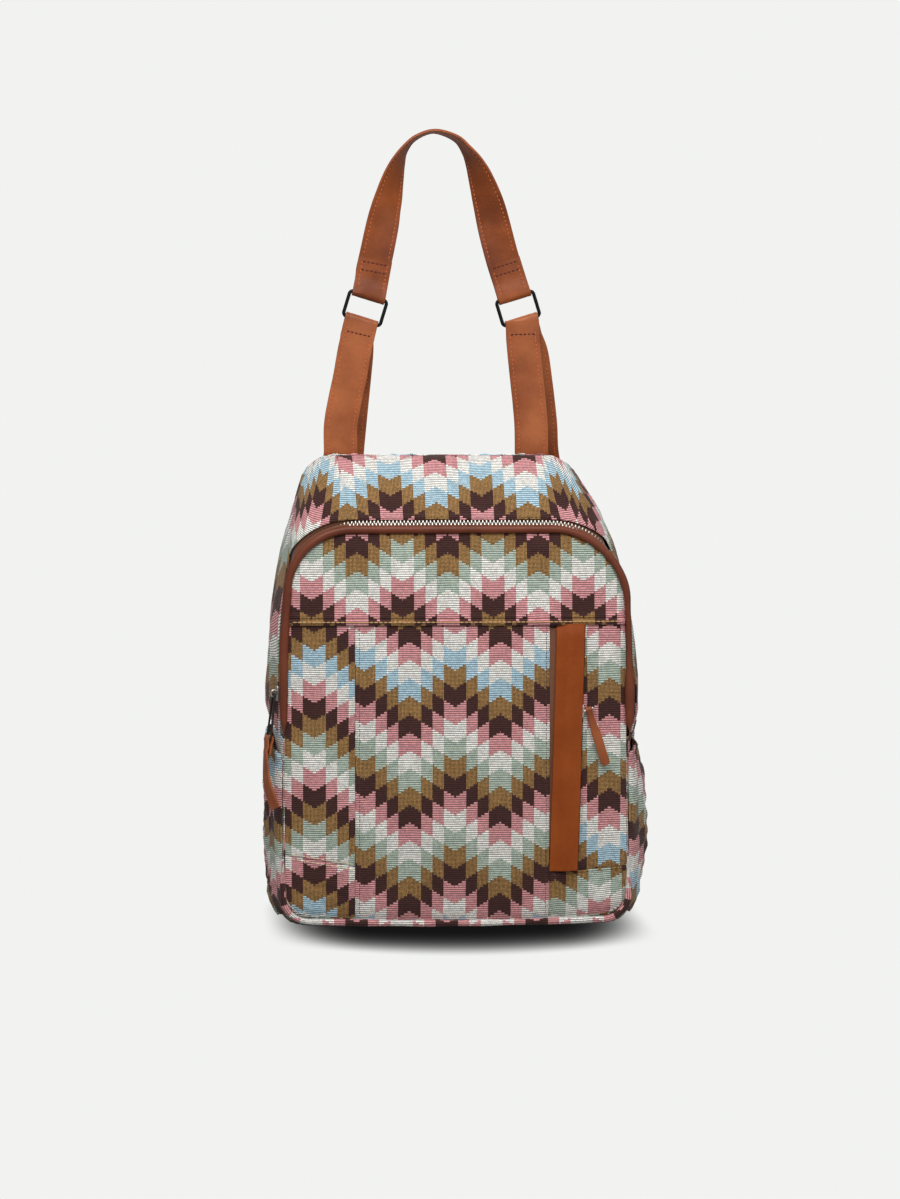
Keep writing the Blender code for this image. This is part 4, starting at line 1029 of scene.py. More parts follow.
def hem_relief(distance):
    """The fold of the hem stands up and rounds over, with a groove where it is stitched down."""
    fold = 0.0010 + 0.0009 * np.sin(math.pi * clamp(distance / HEM_ROLL))
    settle = clamp((distance - HEM_ROLL) / HEM_SETTLE)
    return fold * (1 - settle) - 0.0012 * near(distance - HEM_GROOVE, 0.0009)


def under_hem(z):
    """Cloth that runs up behind the hem lies a little deeper there."""
    return -0.0003 * clamp((z - YOKE_HEM + 0.0015) / 0.0015)


print("front relief of about", round(float(front_wrinkles(0.0, FRONT_TOP / 2)) * 1000, 2), "mm")

# %% [markdown]
# ## Front panel
#
# The yoke's hem hangs a little over the other five cuts, which run up under it and are joined by
# flat seams. The pattern is cut anew in each, some of them upside down, so it jumps from piece to
# piece as in the photograph.

# %% Front panel
HEM_UNDERLAP = 0.0030
HEM_EDGE = 0.00035
POCKET_ZIP_EDGE = 0.0008
HALF_GAP = CLEARANCE / 2
CUTS = {
    "front_yoke": (-1, -41.7, 160.1, 1.0),
    "front_center_panel": (1, -36.8, 219.96, 1.0),
    "front_left_panel": (-1, -105.2, 151.6, 1.034),
    "front_left_corner": (-1, -105.2, -35.7, 1.0),
    "front_right_panel": (1, 108.1, 299.8, 0.98),
    "front_right_corner": (-1, 101.3, -77.8, 1.0),
    "top_gusset": (1, -14.5, 360.8, 1.0),
}


def height_of(low, high):
    return max(abs(high[0] - low[0]), abs(high[1] - low[1]))


def front_panel(name, left, right, low, high, seams, width, hem=False, sew_low=FINE_EDGE):
    """One cut of the front; seams is a function that gives its inner seams from the patch."""
    columns = steps(width, FINE_EDGE, FINE_EDGE)
    edges = (0.011, 0.012, 0.0006) if hem else (sew_low, FINE_EDGE)
    rows = steps(height_of(low, high), *edges)
    patch = panel(front_points, left, right, low, high, columns, rows, CUTS[name])
    relief = front_relief(patch, seams(patch))
    if hem:
        relief += hem_relief(patch.z - low[0])
    else:
        relief += under_hem(patch.z)
    cloth_piece(name, patch, relief, bevel=HEM_EDGE if hem else 0.0)


def make_front():
    hem_top = (YOKE_HEM + HEM_UNDERLAP,) * 2
    base = (FRONT_BOTTOM + SEAM_INSET,) * 2
    yoke_top = (FRONT_TOP - TUCK,) * 2
    left_low = [left_corner_seam(x) for x in (-FRONT_HALF_WIDTH, LEFT_SEAM)]
    right_low = [right_corner_seam(x) for x in (RIGHT_SEAM, FRONT_HALF_WIDTH)]
    left_end = fixed(LEFT_SEAM - HALF_GAP)
    zip_edge = strip_right(RIGHT_CORNER_SEAM[0]) + POCKET_ZIP_EDGE
    column_low = [right_corner_seam(zip_edge) + HALF_GAP, right_low[1] + HALF_GAP]
    front_panel("front_yoke", front_edge(-1), front_edge(1), (YOKE_HEM,) * 2, yoke_top, lambda p: (), 0.25,
                hem=True)
    front_panel("front_center_panel", fixed(LEFT_SEAM + HALF_GAP), fixed(RIGHT_SEAM - HALF_GAP), base,
                hem_top, lambda p: ((p.x - LEFT_SEAM, p.z, 31), (RIGHT_SEAM - p.x, p.z, 32)),
                RIGHT_SEAM - LEFT_SEAM)
    front_panel("front_left_panel", front_edge(-1), left_end, [z + HALF_GAP for z in left_low], hem_top,
                lambda p: ((LEFT_SEAM - p.x, p.z, 31), (p.z - left_corner_seam(p.x), p.x, 33)), 0.050)
    front_panel("front_left_corner", front_edge(-1), left_end, base, [z - HALF_GAP for z in left_low],
                lambda p: ((LEFT_SEAM - p.x, p.z, 31), (left_corner_seam(p.x) - p.z, p.x, 33)), 0.050,
                sew_low=0.010)
    front_panel("front_right_panel", lambda z: strip_right(z) + POCKET_ZIP_EDGE, front_edge(1), column_low,
                hem_top, lambda p: ((p.z - right_corner_seam(p.x), p.x, 34),), 0.040)
    front_panel("front_right_corner", fixed(RIGHT_SEAM + HALF_GAP), front_edge(1), base,
                [z - HALF_GAP for z in right_low],
                lambda p: ((p.x - RIGHT_SEAM, p.z, 32), (right_corner_seam(p.x) - p.z, p.x, 34)), 0.062,
                sew_low=0.010)


make_front()

# %% [markdown]
# ## Roll over the lower front seam
#
# Below the zip's ends no piping covers the front seam. There the base's cloth is turned over it in a
# round roll, gathered at the corners. It is a grid like the others, wrapped round a line that
# follows the seam: three quarters of a turn, thinner towards its ends and a little uneven.

# %% Roll over the lower front seam
WELT_TOP = 0.050
WELT_RADIUS = 0.0024
WELT_DROP = 0.0045
FINE_PITCH = 0.0024
WELT_OFFSET = np.array([0.0, 0.0007, -0.0010])
WELT_TURN = 0.75 * math.pi
WELT_END = 0.030
WELT_CLOTH = 0.0006
FLOOR_GAP = 0.0004


def make_welt():
    """Rounded fold of cloth round the foot of the front panel."""
    first = FRONT.station_at(WELT_TOP)
    stations = even_stations(first, STATIONS - first, FINE_PITCH)
    spots = FRONT.points(stations)
    normals = FRONT.normals(stations)
    run = run_along(spots)
    centres = front_points(spots[:, 0], spots[:, 1]) + WELT_OFFSET
    centres[:, 2] -= WELT_DROP * (spots[:, 0] / FRONT_HALF_WIDTH) ** 2 * clamp(1 - spots[:, 1] / WELT_TOP)
    ends = np.clip(np.minimum(run, run[-1] - run) / WELT_END, 0.25, 1) ** 0.6
    radius = WELT_RADIUS * ends * (1 + 0.10 * waves(run, run * 0, 0.035, 131))
    turn = np.linspace(-WELT_TURN, WELT_TURN, 17)[:, None]
    outward = np.stack([normals[:, 0], np.zeros(len(run)), normals[:, 1]], axis=-1)
    forward = np.array([0.0, -1.0, 0.0])
    directions = unit(forward * np.cos(turn)[..., None] + outward * np.sin(turn)[..., None])
    points = centres + directions * radius[None, :, None]
    points[..., 2] = np.maximum(points[..., 2], FLOOR_GAP)
    cloth = pattern(run[None, :] + 0 * turn, turn * WELT_RADIUS + 0 * run[None, :], (1, 40.0, 12.0, 1.0))
    gathers = 0.00025 * np.sin(run * 2 * math.pi / 0.0055 + 2 * np.sin(run * 2 * math.pi / 0.04))
    cloth_piece("welt", Patch(points, directions, cloth), gathers[None, :] * np.cos(turn) ** 2, WELT_CLOTH,
                replaces=False)


make_welt()

# %% [markdown]
# ## Gusset, sides, base and back
#
# The top gusset is the wide band from the zip back to the top edge; its front edge is a narrow hem
# along the zip. The side panels take over where the zip ends, and the base closes the bag below.
# All of these lie on the band between the outlines. Beside the piping the cloth stands out in a soft
# fold, which a table of heights describes. The back panel leans forward, over a board of foam.

# %% Gusset, sides, base and back
BASE_SEAM = 5.5
STATION_GAP = 0.001
CLOTH_PITCH = 0.0026
GUSSET_HEM = 0.0078
BAND_DEPTH = 0.10
BACK_BREADTH = 0.25
BACK_PANEL_INSET = 0.0004
BACK_PANEL_SEAM = (0.0010, 0.0036)
FRONT_SEAM_GAP = 0.0006
BACK_SEAM_GAP = 0.0010
PUFF_RIGHT = ((0.132, 0.140, 0.155, 0.175, 0.200, 0.230), (0.0, 0.0035, 0.0072, 0.0072, 0.0055, 0.0045))
PUFF_LEFT = 0.0060
PUFF_START = 0.090
PUFF_LOW = 0.132
ZIP_MOUTH = ((0.137, 0.150, 0.172, 0.200, 0.220), (0.0, 0.20, 0.22, 0.10, 0.0))


def mirrored(stations):
    return np.array([STATIONS - station for station in reversed(stations)])


def zip_stations(gap, pitch):
    """Stations over the top, from one end of the zip to the other, less a gap at either end."""
    return even_stations(-ZIP_STATION + gap, ZIP_STATION - gap, pitch)


def band_relief(patch, seed, amount=0.0007, size=0.045, front=True):
    """Waves that calm down towards the seams at the band's back and, mostly, front edge."""
    relief = amount * waves(patch.left, patch.low, size, seed)
    relief += 0.3 * amount * waves(patch.left, patch.low, size / 4, seed + 1)
    relief *= clamp(np.minimum(patch.low, patch.high) / CALM_EDGE)
    relief += seam(patch.high, patch.left, seed + 2)
    if front:
        relief += seam(patch.low, patch.left, seed + 3)
    return relief


def puff(patch, mouth=0.0):
    """Fullness of the side cloth behind the zip, which shows beside the piping; below is the pocket.

    The mouth is how much the hem beside the zip's right end stands out with it.
    """
    x, z = patch.points[..., 0], patch.points[..., 2]
    share = patch.low / (patch.low + patch.high + 1e-6)
    open_share = np.maximum(share, mouth * np.interp(z, *ZIP_MOUTH) * (x > 0))
    right = np.interp(z, *PUFF_RIGHT) * clamp((x - PUFF_START) / 0.02)
    right = right * clamp(np.sin(math.pi * clamp(open_share))) ** 0.7
    left = PUFF_LEFT * clamp((-x - PUFF_START) / 0.02) * clamp((0.26 - z) / 0.08)
    left = left * clamp(np.sin(math.pi * clamp(share))) ** 1.4 * clamp((z - PUFF_LOW) / 0.03)
    return right + left


def make_top_gusset():
    rows = steps(0.050, 0.009, 0.006)
    patch = band(zip_stations(STATION_GAP, FINE_PITCH), GUSSET_HEM, -BACK_SEAM_GAP, rows, CUTS["top_gusset"])
    relief = band_relief(patch, 41, 0.0006, 0.05, front=False)
    relief += 0.0006 * np.sin(math.pi * clamp(patch.low / 0.0045)) - 0.0004 * near(patch.low - 0.0058, 0.001)
    cloth_piece("top_gusset", patch, relief + puff(patch, mouth=1.0), bevel=0.0003)


def full_band(stations, cut):
    """The band's whole depth, from the front seam to the back seam."""
    return band(stations, FRONT_SEAM_GAP, -BACK_SEAM_GAP, steps(BAND_DEPTH, FINE_EDGE, FINE_EDGE), cut)


def make_side(name, stations, seed, cut):
    patch = full_band(stations, cut)
    cloth_piece(name, patch, band_relief(patch, seed, 0.0008) + puff(patch))


def make_base():
    patch = full_band(even_stations(BASE_SEAM, STATIONS - BASE_SEAM, CLOTH_PITCH), (1, 12.0, -30.0, 1.0))
    relief = band_relief(patch, 61, 0.0003)
    cloth_piece("base_panel", patch, np.maximum(relief, -patch.points[..., 2]))


def make_back():
    inset = BACK_PANEL_INSET
    rows = (1 - np.cos(np.linspace(0, math.pi, 130))) / 2
    columns = steps(BACK_BREADTH, FINE_EDGE, FINE_EDGE, coarse=0.003)
    patch = panel(back_points, lambda z: BACK.width_at(z, inset), lambda z: -BACK.width_at(z, inset),
                  (BACK_BOTTOM + inset,) * 2, (BACK_TOP - inset,) * 2, columns, rows, (1, 6.0, 170.0, 1.0))
    outline = BACK.points(np.linspace(0, STATIONS, 500)[:-1])
    spots = np.stack([patch.x.ravel(), patch.z.ravel()], axis=1)
    distance = np.array([np.linalg.norm(outline - spot, axis=1).min() for spot in spots])
    relief = 0.0005 * waves(patch.x, patch.z, 0.07, 71)
    relief += seam(distance.reshape(patch.x.shape), patch.z + patch.x, 72, *BACK_PANEL_SEAM)
    cloth_piece("back_panel", patch, relief)


make_top_gusset()
right_side = even_stations(ZIP_STATION + STATION_GAP, BASE_SEAM - 0.002, CLOTH_PITCH)
make_side("side_panel_right", right_side, 51, (1, 108.1, 262.0, 1.0))
make_side("side_panel_left", mirrored(right_side), 55, (-1, -105.2, 120.0, 1.0))
make_base()
make_back()

# %% [markdown]
# ## Side pockets
#
# Each side carries an open pocket of the same cloth. It is sewn down at both seams and along its
# foot and stands off in the middle, so the mouth gapes and the cloth falls in soft folds. The
# standing-off is a curve over the pocket's width and height, and the folds grow towards the mouth.

# %% Side pockets
POCKET_TOP = 0.1255
POCKET_SEAM = 0.003
POCKET_FRONT_LAP = 0.0016
POCKET_EDGE_SEAM = (0.0013, 0.0030)
POCKET_STANDOFF = {-1: 0.0066, 1: 0.0092}
POCKET_SHAPE = {
    -1: ((0, 0.25, 0.6, 1), (0.75, 1.0, 0.9, 0)),
    1: ((0, 0.10, 0.25, 0.6, 1), (0.10, 0.40, 0.9, 1.0, 0)),
}
CLOTH = 0.0012


def make_pocket(name, side, seed, cut):
    """One pocket; its stations run down from the mouth on the right side and up to it on the left."""
    stations = even_stations(FRONT.station_at(POCKET_TOP), BASE_SEAM - 0.004, 0.0020)
    mouth_first = side > 0
    if not mouth_first:
        stations = mirrored(stations)

    def lift(along, across):
        down = along if mouth_first else 1 - along
        stand = POCKET_STANDOFF[side] * np.sin(math.pi * across) ** 0.8 * np.interp(down, *POCKET_SHAPE[side])
        return 2 * CLEARANCE + CLOTH + stand

    rows = steps(BAND_DEPTH, FINE_EDGE, FINE_EDGE, coarse=0.0020)
    patch = band(stations, POCKET_SEAM - POCKET_FRONT_LAP, BACK_SEAM_GAP - POCKET_SEAM, rows, cut, lift)
    down = patch.left if mouth_first else patch.right
    folds = 0.0015 * waves(patch.low, down * 0.30, 0.026, seed)
    folds += 0.0006 * waves(patch.low, down, 0.012, seed + 1)
    relief = folds * clamp(np.minimum(patch.low, patch.high) / 0.020)
    relief += 0.0007 * np.sin(math.pi * clamp(down / 0.005)) - 0.0005 * near(down - 0.0065, 0.0010)
    relief += sum(seam(distance, down, seed + number, *POCKET_EDGE_SEAM)
                  for number, distance in ((2, patch.low), (3, patch.high)))
    cloth_piece(name, patch, relief, bevel=0.0003)


make_pocket("side_pocket_right", 1, 81, (1, 96.0, 250.0, 1.0))
make_pocket("side_pocket_left", -1, 91, (-1, -112.0, 90.0, 1.0))

# %% [markdown]
# ## Piping
#
# A leather-covered bead runs round the front above the zip's ends, where it narrows to a point. A
# tube along the front's outline gives it, wider or narrower by a table of heights, because the
# leather shows more of itself in some places than in others. Helpers made here serve later cells
# too: a tube along a line, the joining of pieces, and copies of a template at many places.

# %% Piping
PIPING_END_GAP = 0.012
PIPING_PITCH = 0.0025
PIPING_WIDE = 0.0030
PIPING_FORWARD = np.array([0.0, -0.0004, 0.0])
PIPING_TO_RIGHT = 0.0010
FACING_LEFT = ((0.137, 0.150, 0.175, 0.200, 0.260), (0.35, 0.8, 1.1, 1.12, 1.0))
FACING_RIGHT = ((0.137, 0.148, 0.160, 0.175, 0.195, 0.225, 0.250), (0.4, 0.95, 1.25, 1.15, 0.75, 0.65, 0.95))


def tube(name, points, radius, radii=None, cyclic=False, sides=3):
    """Round bar along a list of points."""
    curve = bpy.data.curves.new(name, "CURVE")
    curve.dimensions = "3D"
    curve.bevel_depth = radius
    curve.bevel_resolution = sides
    curve.use_fill_caps = not cyclic
    spline = curve.splines.new("POLY")
    spline.points.add(len(points) - 1)
    for number, point in enumerate(points):
        spline.points[number].co = (*point, 1.0)
        if radii is not None:
            spline.points[number].radius = radii[number]
    spline.use_cyclic_u = cyclic
    piece = bpy.data.objects.new(name, curve)
    bpy.context.scene.collection.objects.link(piece)
    select([piece])
    bpy.ops.object.convert(target="MESH")
    return bpy.context.object


def join(name, pieces):
    select(pieces)
    bpy.ops.object.join()
    bpy.ops.object.transform_apply(location=True, rotation=True, scale=True)
    joined = bpy.context.object
    joined.name = name
    joined.data.name = name
    return joined


def frame_matrix(x_axis, y_axis, z_axis, origin):
    matrix = Matrix((x_axis, y_axis, z_axis)).transposed().to_4x4()
    matrix.translation = origin
    return matrix


def copies(name, template, matrices):
    """The template once at each matrix, each copy with its own mesh, joined into one piece."""
    pieces = []
    for matrix in matrices:
        piece = template.copy()
        piece.data = template.data.copy()
        piece.matrix_world = matrix
        bpy.context.scene.collection.objects.link(piece)
        pieces.append(piece)
    bpy.data.objects.remove(template, do_unlink=True)
    return join(name, pieces)


def make_piping():
    spots = FRONT.points(zip_stations(PIPING_END_GAP, PIPING_PITCH))
    points = front_points(spots[:, 0], spots[:, 1]) + PIPING_FORWARD
    points[:, 0] += PIPING_TO_RIGHT * clamp((0.27 - points[:, 2]) / 0.03)
    run = np.arange(len(spots)) * PIPING_PITCH
    uneven = 1 + 0.03 * waves(run, run * 0, 0.03, 17)
    left, right = (np.interp(points[:, 2], *facing) for facing in (FACING_LEFT, FACING_RIGHT))
    facing = np.where(spots[:, 0] < 0, left, right)
    ends = np.clip(np.minimum(run, run[::-1]) / 0.010, 0.25, 1)
    piece = tube("leather_piping", points, PIPING_WIDE, list(facing * uneven * ends), sides=4)
    finish(piece, [PIPING], replaces=["front_piping"])
    print("piping of", len(spots), "rings")


make_piping()

# %% [markdown]
# ## Main zip
#
# Behind the piping lies the main zip: two tapes and two rows of metal teeth that mesh. One tooth is
# modelled from a cube, bevelled, with its head drawn in; its copies stand alternately on the two
# tapes, 2.7 mm apart on each, as on a common number 5 metal zip.

# %% Main zip
TEETH_START = 0.0049
TEETH_END = 0.0105
TEETH_LIFT = -0.0002
TOOTH_PITCH = 0.0027
TOOTH_LENGTH = 0.0026
TOOTH_WIDTH = 0.00118
TOOTH_HEIGHT = 0.0023
TOOTH_HEAD = 0.72
TOOTH_EDGE = 0.00028
TOOTH_ASIDE = 0.0006
TEETH_END_GAP = 0.004
TAPE_START = 0.0036
TAPE_THICKNESS = 0.0007
CHAIN_MIDDLE = 0.0056
CHAIN_DROP = ((-4.5, -2.8, -2.1, -1.2, -0.95, 0, 0.95, 1.2, 2.0, 2.8, 4.5),
              (0.0004, 0.0008, 0.0036, 0.0036, 0.0006, 0.0002, 0.0004, 0.0013, 0.0020, 0.0030, 0.0030))
TAPES = {"main_zip_tape_front": (TAPE_START - 0.0006, TEETH_START + 0.0004, 0.0016),
         "main_zip_tape_rear": (CHAIN_MIDDLE + 0.0006, TEETH_END + 0.0050, 0.0024)}


def tape_piece(node, start, end, drop):
    patch = band(zip_stations(STATION_GAP, FINE_PITCH), start, end, np.linspace(0, 1, 5), PLAIN_CUT)
    piece = grid_object("tape_" + node, patch.points - patch.normals * drop, patch.cloth)
    shape(piece, TAPE_THICKNESS)
    print("tape", node, len(piece.data.polygons), "faces")
    finish(piece, [TAPE], replaces=[node])


def tooth():
    """Bar with a rounded base and a narrower head; it lies along X, its row along Y."""
    bpy.ops.mesh.primitive_cube_add(size=1)
    piece = bpy.context.object
    for vertex in piece.data.vertices:
        x, y, z = vertex.co
        slim = TOOTH_HEAD if x > 0 else 1.0
        vertex.co = (x * TOOTH_LENGTH, y * TOOTH_WIDTH * slim, z * TOOTH_HEIGHT * slim)
    shape(piece, edge=TOOTH_EDGE, angle=30)
    return piece


def at(place, run, values):
    """Value at a length along a line of points, as a Vector."""
    return Vector([np.interp(place, run, values[:, axis]) for axis in range(3)])


def make_teeth():
    """Teeth along the middle of the chain, every other one turned round."""
    stations = zip_stations(TEETH_END_GAP, 0.0010)
    middle = depths_at(stations, CHAIN_MIDDLE)[None, :]
    normals = gusset_normals(stations, middle)[0]
    points = gusset_points(stations, middle)[0] - normals * np.interp(stations, *CHAIN_DROP)[:, None]
    run = run_along(points)
    matrices = []
    for number, place in enumerate(np.arange(0.001, run[-1] - 0.001, TOOTH_PITCH / 2)):
        out = at(place, run, normals).normalized()
        along = (at(place + 0.002, run, points) - at(place - 0.002, run, points)).normalized()
        across = out.cross(along).normalized()
        side = 1 if number % 2 else -1
        origin = at(place, run, points) + out * (TEETH_LIFT - TOOTH_HEIGHT / 2) - across * side * TOOTH_ASIDE
        matrices.append(frame_matrix(across * side, along * side, out, origin))
    piece = copies("zip_teeth", tooth(), matrices)
    finish(piece, [SILVER], replaces=["main_zip_teeth"])
    print(len(matrices), "teeth,", len(piece.data.polygons), "faces")


for tape, (start, end, drop) in TAPES.items():
    tape_piece(tape, start, end, drop)
make_teeth()

# %% [markdown]
# ## Leather strip and pocket zip
#
# A plain strip of leather is sewn down along its left edge and stands off to the right, hiding the
# zip of the flat front pocket. Only the leather tab of that zip's slider comes out beside it. The
# strip is a grid with round edges; its top goes under the yoke's hem.

# %% Leather strip and pocket zip
STRIP_THICKNESS = 0.0016
STRIP_STANDOFF = 0.0031
STRIP_EDGE = 0.00045
STRIP_TUCK = 0.0018
ZIP_FOOT = right_corner_seam(strip_right(RIGHT_CORNER_SEAM[0]) + POCKET_ZIP_EDGE) + HALF_GAP


def make_strip():
    columns = steps(STRIP_WIDTH, 0.002, 0.002, 0.0005, 0.0018)
    rows = steps(YOKE_HEM - ZIP_FOOT, 0.002, 0.002, 0.0007, 0.003)
    patch = panel(front_points, strip_left, strip_right, (ZIP_FOOT,) * 2, (YOKE_HEM + 0.001,) * 2, columns,
                  rows, PLAIN_CUT)
    rise = clamp((patch.left / STRIP_WIDTH - 0.10) / 0.40)
    rise = rise * rise * (3 - 2 * rise)
    relief = CLEARANCE + STRIP_STANDOFF * rise + STRIP_THICKNESS
    relief += 0.0002 * waves(patch.x, patch.z, 0.04, 101)
    relief -= STRIP_TUCK * clamp((patch.z - YOKE_HEM + 0.006) / 0.006)
    piece = raised("leather_strip", patch, relief)
    shape(piece, STRIP_THICKNESS, STRIP_EDGE, segments=3)
    finish(piece, [STRIP], replaces=["pocket_cover_strip"])


def dress_node(name, material):
    """A CAD node whose shape is right keeps it and takes a better material."""
    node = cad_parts[name]
    node.data.materials.clear()
    node.data.materials.append(material)


INNER_PIECES = {"pocket_zip_tape": TAPE, "pocket_zip_teeth": SILVER, "main_lining": LINING,
                "front_lining": LINING, "front_pocket_pouch": LINING, "back_foam": FOAM, "base_board": BOARD}
make_strip()
for node_name, material in INNER_PIECES.items():
    dress_node(node_name, material)
print("leather strip, and materials for", ", ".join(INNER_PIECES))

# %% [markdown]
# ## Leather bands
#
# Straps, handle and tabs are all bands of two thin leathers glued and sewn together, with the raw
# edges painted. One profile serves them all: flat faces with a shallow groove where the stitching
# pulls them in, round corners, and a fine line between the two leathers in the middle of each
# edge. The grooves are coloured darker as painted shade, and the edge colour, which reaches a
# little onto the faces, is brightened as a painted highlight. The profile is swept along a route
# of points, each with the direction across the band.

# %% Leather bands
STRAP_THICKNESS = 0.0018
STRAP_WIDTH = 0.0245
STITCH_INSET = 0.0030
GROOVE_HALF = 0.00075
GROOVE_LIP = 0.00003
GROOVE_DEPTH = 0.00018
EDGE_PAINT_AND_HIGHLIGHT_WIDTH = 0.0008
STITCH_SINK = 0.00012
BAND_LOOKS = (TAN, EDGE_PAINT_AND_HIGHLIGHT, GROOVE_SHADE)


def spread(start, end, count):
    return [start + (end - start) * number / count for number in range(count + 1)]


def smooth(points, count):
    """Points of a smooth curve through tuples of any length."""
    result = []
    last = len(points) - 1
    for number in range(last):
        p0, p1 = points[max(number - 1, 0)], points[number]
        p2, p3 = points[number + 1], points[min(number + 2, last)]
        for step in range(count):
            t = step / count
            result.append(tuple(0.5 * (2 * b + (c - a) * t + (2 * a - 5 * b + 4 * c - d) * t ** 2
                                       + (3 * b - a - 3 * c + d) * t ** 3)
                                for a, b, c, d in zip(p0, p1, p2, p3)))
    result.append(tuple(points[-1]))
    return result


def profile(width, thickness, grooved):
    """Ring of (across, out, look) round the band, from its outer face; looks are leather, edge (paint with a
    painted highlight) and groove (painted shade).
    """
    half, deep = width / 2, thickness / 2
    soft = min(deep * 0.45, 0.0004)
    if grooved:
        groove = half - STITCH_INSET
        marks = ((half - EDGE_PAINT_AND_HIGHLIGHT_WIDTH, 0.0, 1), (groove + GROOVE_HALF, GROOVE_LIP, 2),
                 (groove, GROOVE_DEPTH, 2), (groove - GROOVE_HALF, GROOVE_LIP, 2), (half * 0.35, 0.0, 0))
    else:
        marks = ((half - soft * 1.2, 0.0, 1), (half * 0.5, 0.0, 0))
    face = [(-mark, deep - dip, look) for mark, dip, look in marks]
    face += [(0.0, deep, 0)]
    face += [(mark, deep - dip, look) for mark, dip, look in reversed(marks)]
    edge = [(half - soft * 0.4, deep - soft * 0.25, 1), (half, deep - soft, 1), (half - GROOVE_DEPTH, 0.0, 1),
            (half, -deep + soft, 1), (half - soft * 0.4, -deep + soft * 0.25, 1)]
    upper = face + edge
    return upper + [(-across, -out, look) for across, out, look in upper]


class Band:
    """A leather band along its route, with what its stitches need."""

    def __init__(self, stations, width, thickness):
        self.centres = np.array([centre for centre, across in stations])
        along = unit(np.gradient(self.centres, axis=0))
        across = np.array([direction for centre, direction in stations])
        self.flats = unit(across - along * (across * along).sum(axis=1)[:, None])
        self.normals = unit(np.cross(self.flats, along))
        self.run = run_along(self.centres)
        self.length = self.run[-1]
        if not callable(width):
            width = fixed(width)
        self.widths = np.array([width(place / self.length) for place in self.run])
        self.thickness = thickness

    def mesh(self, name, grooved=True):
        """Grid of rings, closed along its seam and capped at its ends."""
        rings = []
        for centre, flat, normal, width in zip(self.centres, self.flats, self.normals, self.widths):
            ring = profile(width, self.thickness, grooved)
            ring.append(ring[0])
            rings.append([centre + flat * across + normal * out for across, out, look in ring])
        cloth = np.stack(np.broadcast_arrays(np.arange(float(len(ring))), self.run[:, None] * 1000), axis=-1)
        piece = grid_object(name, np.array(rings), cloth)
        looks = [mark[2] if mark[2] == after[2] else 0 for mark, after in zip(ring, ring[1:])]
        for look in BAND_LOOKS:
            piece.data.materials.append(look)
        indices = np.resize(np.array(looks, np.int32), len(piece.data.polygons))
        piece.data.polygons.foreach_set("material_index", indices)
        bpy.context.view_layer.objects.active = piece
        bpy.ops.object.mode_set(mode="EDIT")
        bpy.ops.mesh.select_all(action="SELECT")
        bpy.ops.mesh.remove_doubles(threshold=0.00001)
        bpy.ops.mesh.fill_holes(sides=0)
        bpy.ops.mesh.normals_make_consistent(inside=False)
        bpy.ops.object.mode_set(mode="OBJECT")
        return piece

    def spot(self, place, aside, face):
        """Stitch frame at a length along, a distance across and a face, 1 or -1."""
        out = at(place, self.run, self.normals).normalized() * face
        flat = at(place, self.run, self.flats).normalized()
        along = flat.cross(out).normalized()
        centre = at(place, self.run, self.centres) + flat * aside + out * (self.thickness / 2 - STITCH_SINK)
        return centre, along, flat, out

    def edge_stitches(self, start, end, pitch=0.0031, inset=STITCH_INSET):
        """Rows beside both edges, on both faces."""
        found = []
        for face in (1, -1):
            for side in (-1, 1):
                for place in np.arange(start, end, pitch):
                    wide = float(np.interp(place, self.run, self.widths)) / 2 - inset
                    centre, along, _, out = self.spot(place, side * wide, face)
                    found.append(frame_matrix(along, out.cross(along), out, centre))
        return found

    def cross_stitches(self, place, pitch=0.0029):
        """One row across, on both faces."""
        found = []
        reach = self.widths[0] / 2 - STITCH_INSET
        for face in (1, -1):
            for aside in np.linspace(-reach + pitch / 2, reach - pitch / 2, int(2 * reach / pitch)):
                centre, _, flat, out = self.spot(place, aside, face)
                found.append(frame_matrix(flat, out.cross(flat), out, centre))
        return found


print("bands have", len(profile(STRAP_WIDTH, STRAP_THICKNESS, True)), "points to a ring")

# %% [markdown]
# ## Stitches
#
# One stitch is a short bead: a sphere drawn out along its length. It is copied along every row, each
# copy with its own mesh, turned by a matrix so that it lies in the groove. The rows across the bands
# are sewn with thicker, darker thread than the rows along their edges.

# %% Stitches
CROSS_STITCH = (0.0025, 0.00062)


def stitch(length, radius):
    """One stitch: a short bead of thread, drawn out along X."""
    bpy.ops.mesh.primitive_uv_sphere_add(segments=8, ring_count=5, radius=1)
    piece = bpy.context.object
    piece.data.transform(Matrix.Rotation(math.radians(90), 4, "Y"))
    piece.data.transform(Matrix.Diagonal((length / 2, radius, radius * 0.9, 1.0)))
    return piece


def sew(name, matrices, thread, slot="tan_leather", body="bag", length=0.0020, radius=0.00042):
    piece = copies(name, stitch(length, radius), matrices)
    finish(piece, [thread], body=body, angle=80)
    print(name, len(matrices), "stitches")


def round_bar(centre, rise, reach, across, start=0, end=180, count=20):
    """Stations of a band that turns round a bar, from the reach over the rise to the other side."""
    turns = [math.radians(angle) for angle in spread(start, end, count)]
    return [(centre + rise * math.sin(turn) + reach * math.cos(turn), across) for turn in turns]


print("stitches of", CROSS_STITCH[0], "m across the bands")

# %% [markdown]
# ## Rings
#
# Two oblong rings of black-plated wire join the straps to the handle. A ring is a closed tube whose
# points run round a rectangle with round corners. Both rings lean outwards at the foot, as they hang
# in the photograph, and they swing with the handle.

# %% Rings
RING_WIRE = 0.0013
RING_PITCH = 0.0192
RING_CORNER = 0.0028
RING_SIDE_ROOM = 0.0005
RING_TILT = math.radians(17)
RING_X = 0.0588
RING_Y = -0.010
RING_Z = 0.4389
STRAP_SHIFT = -0.010


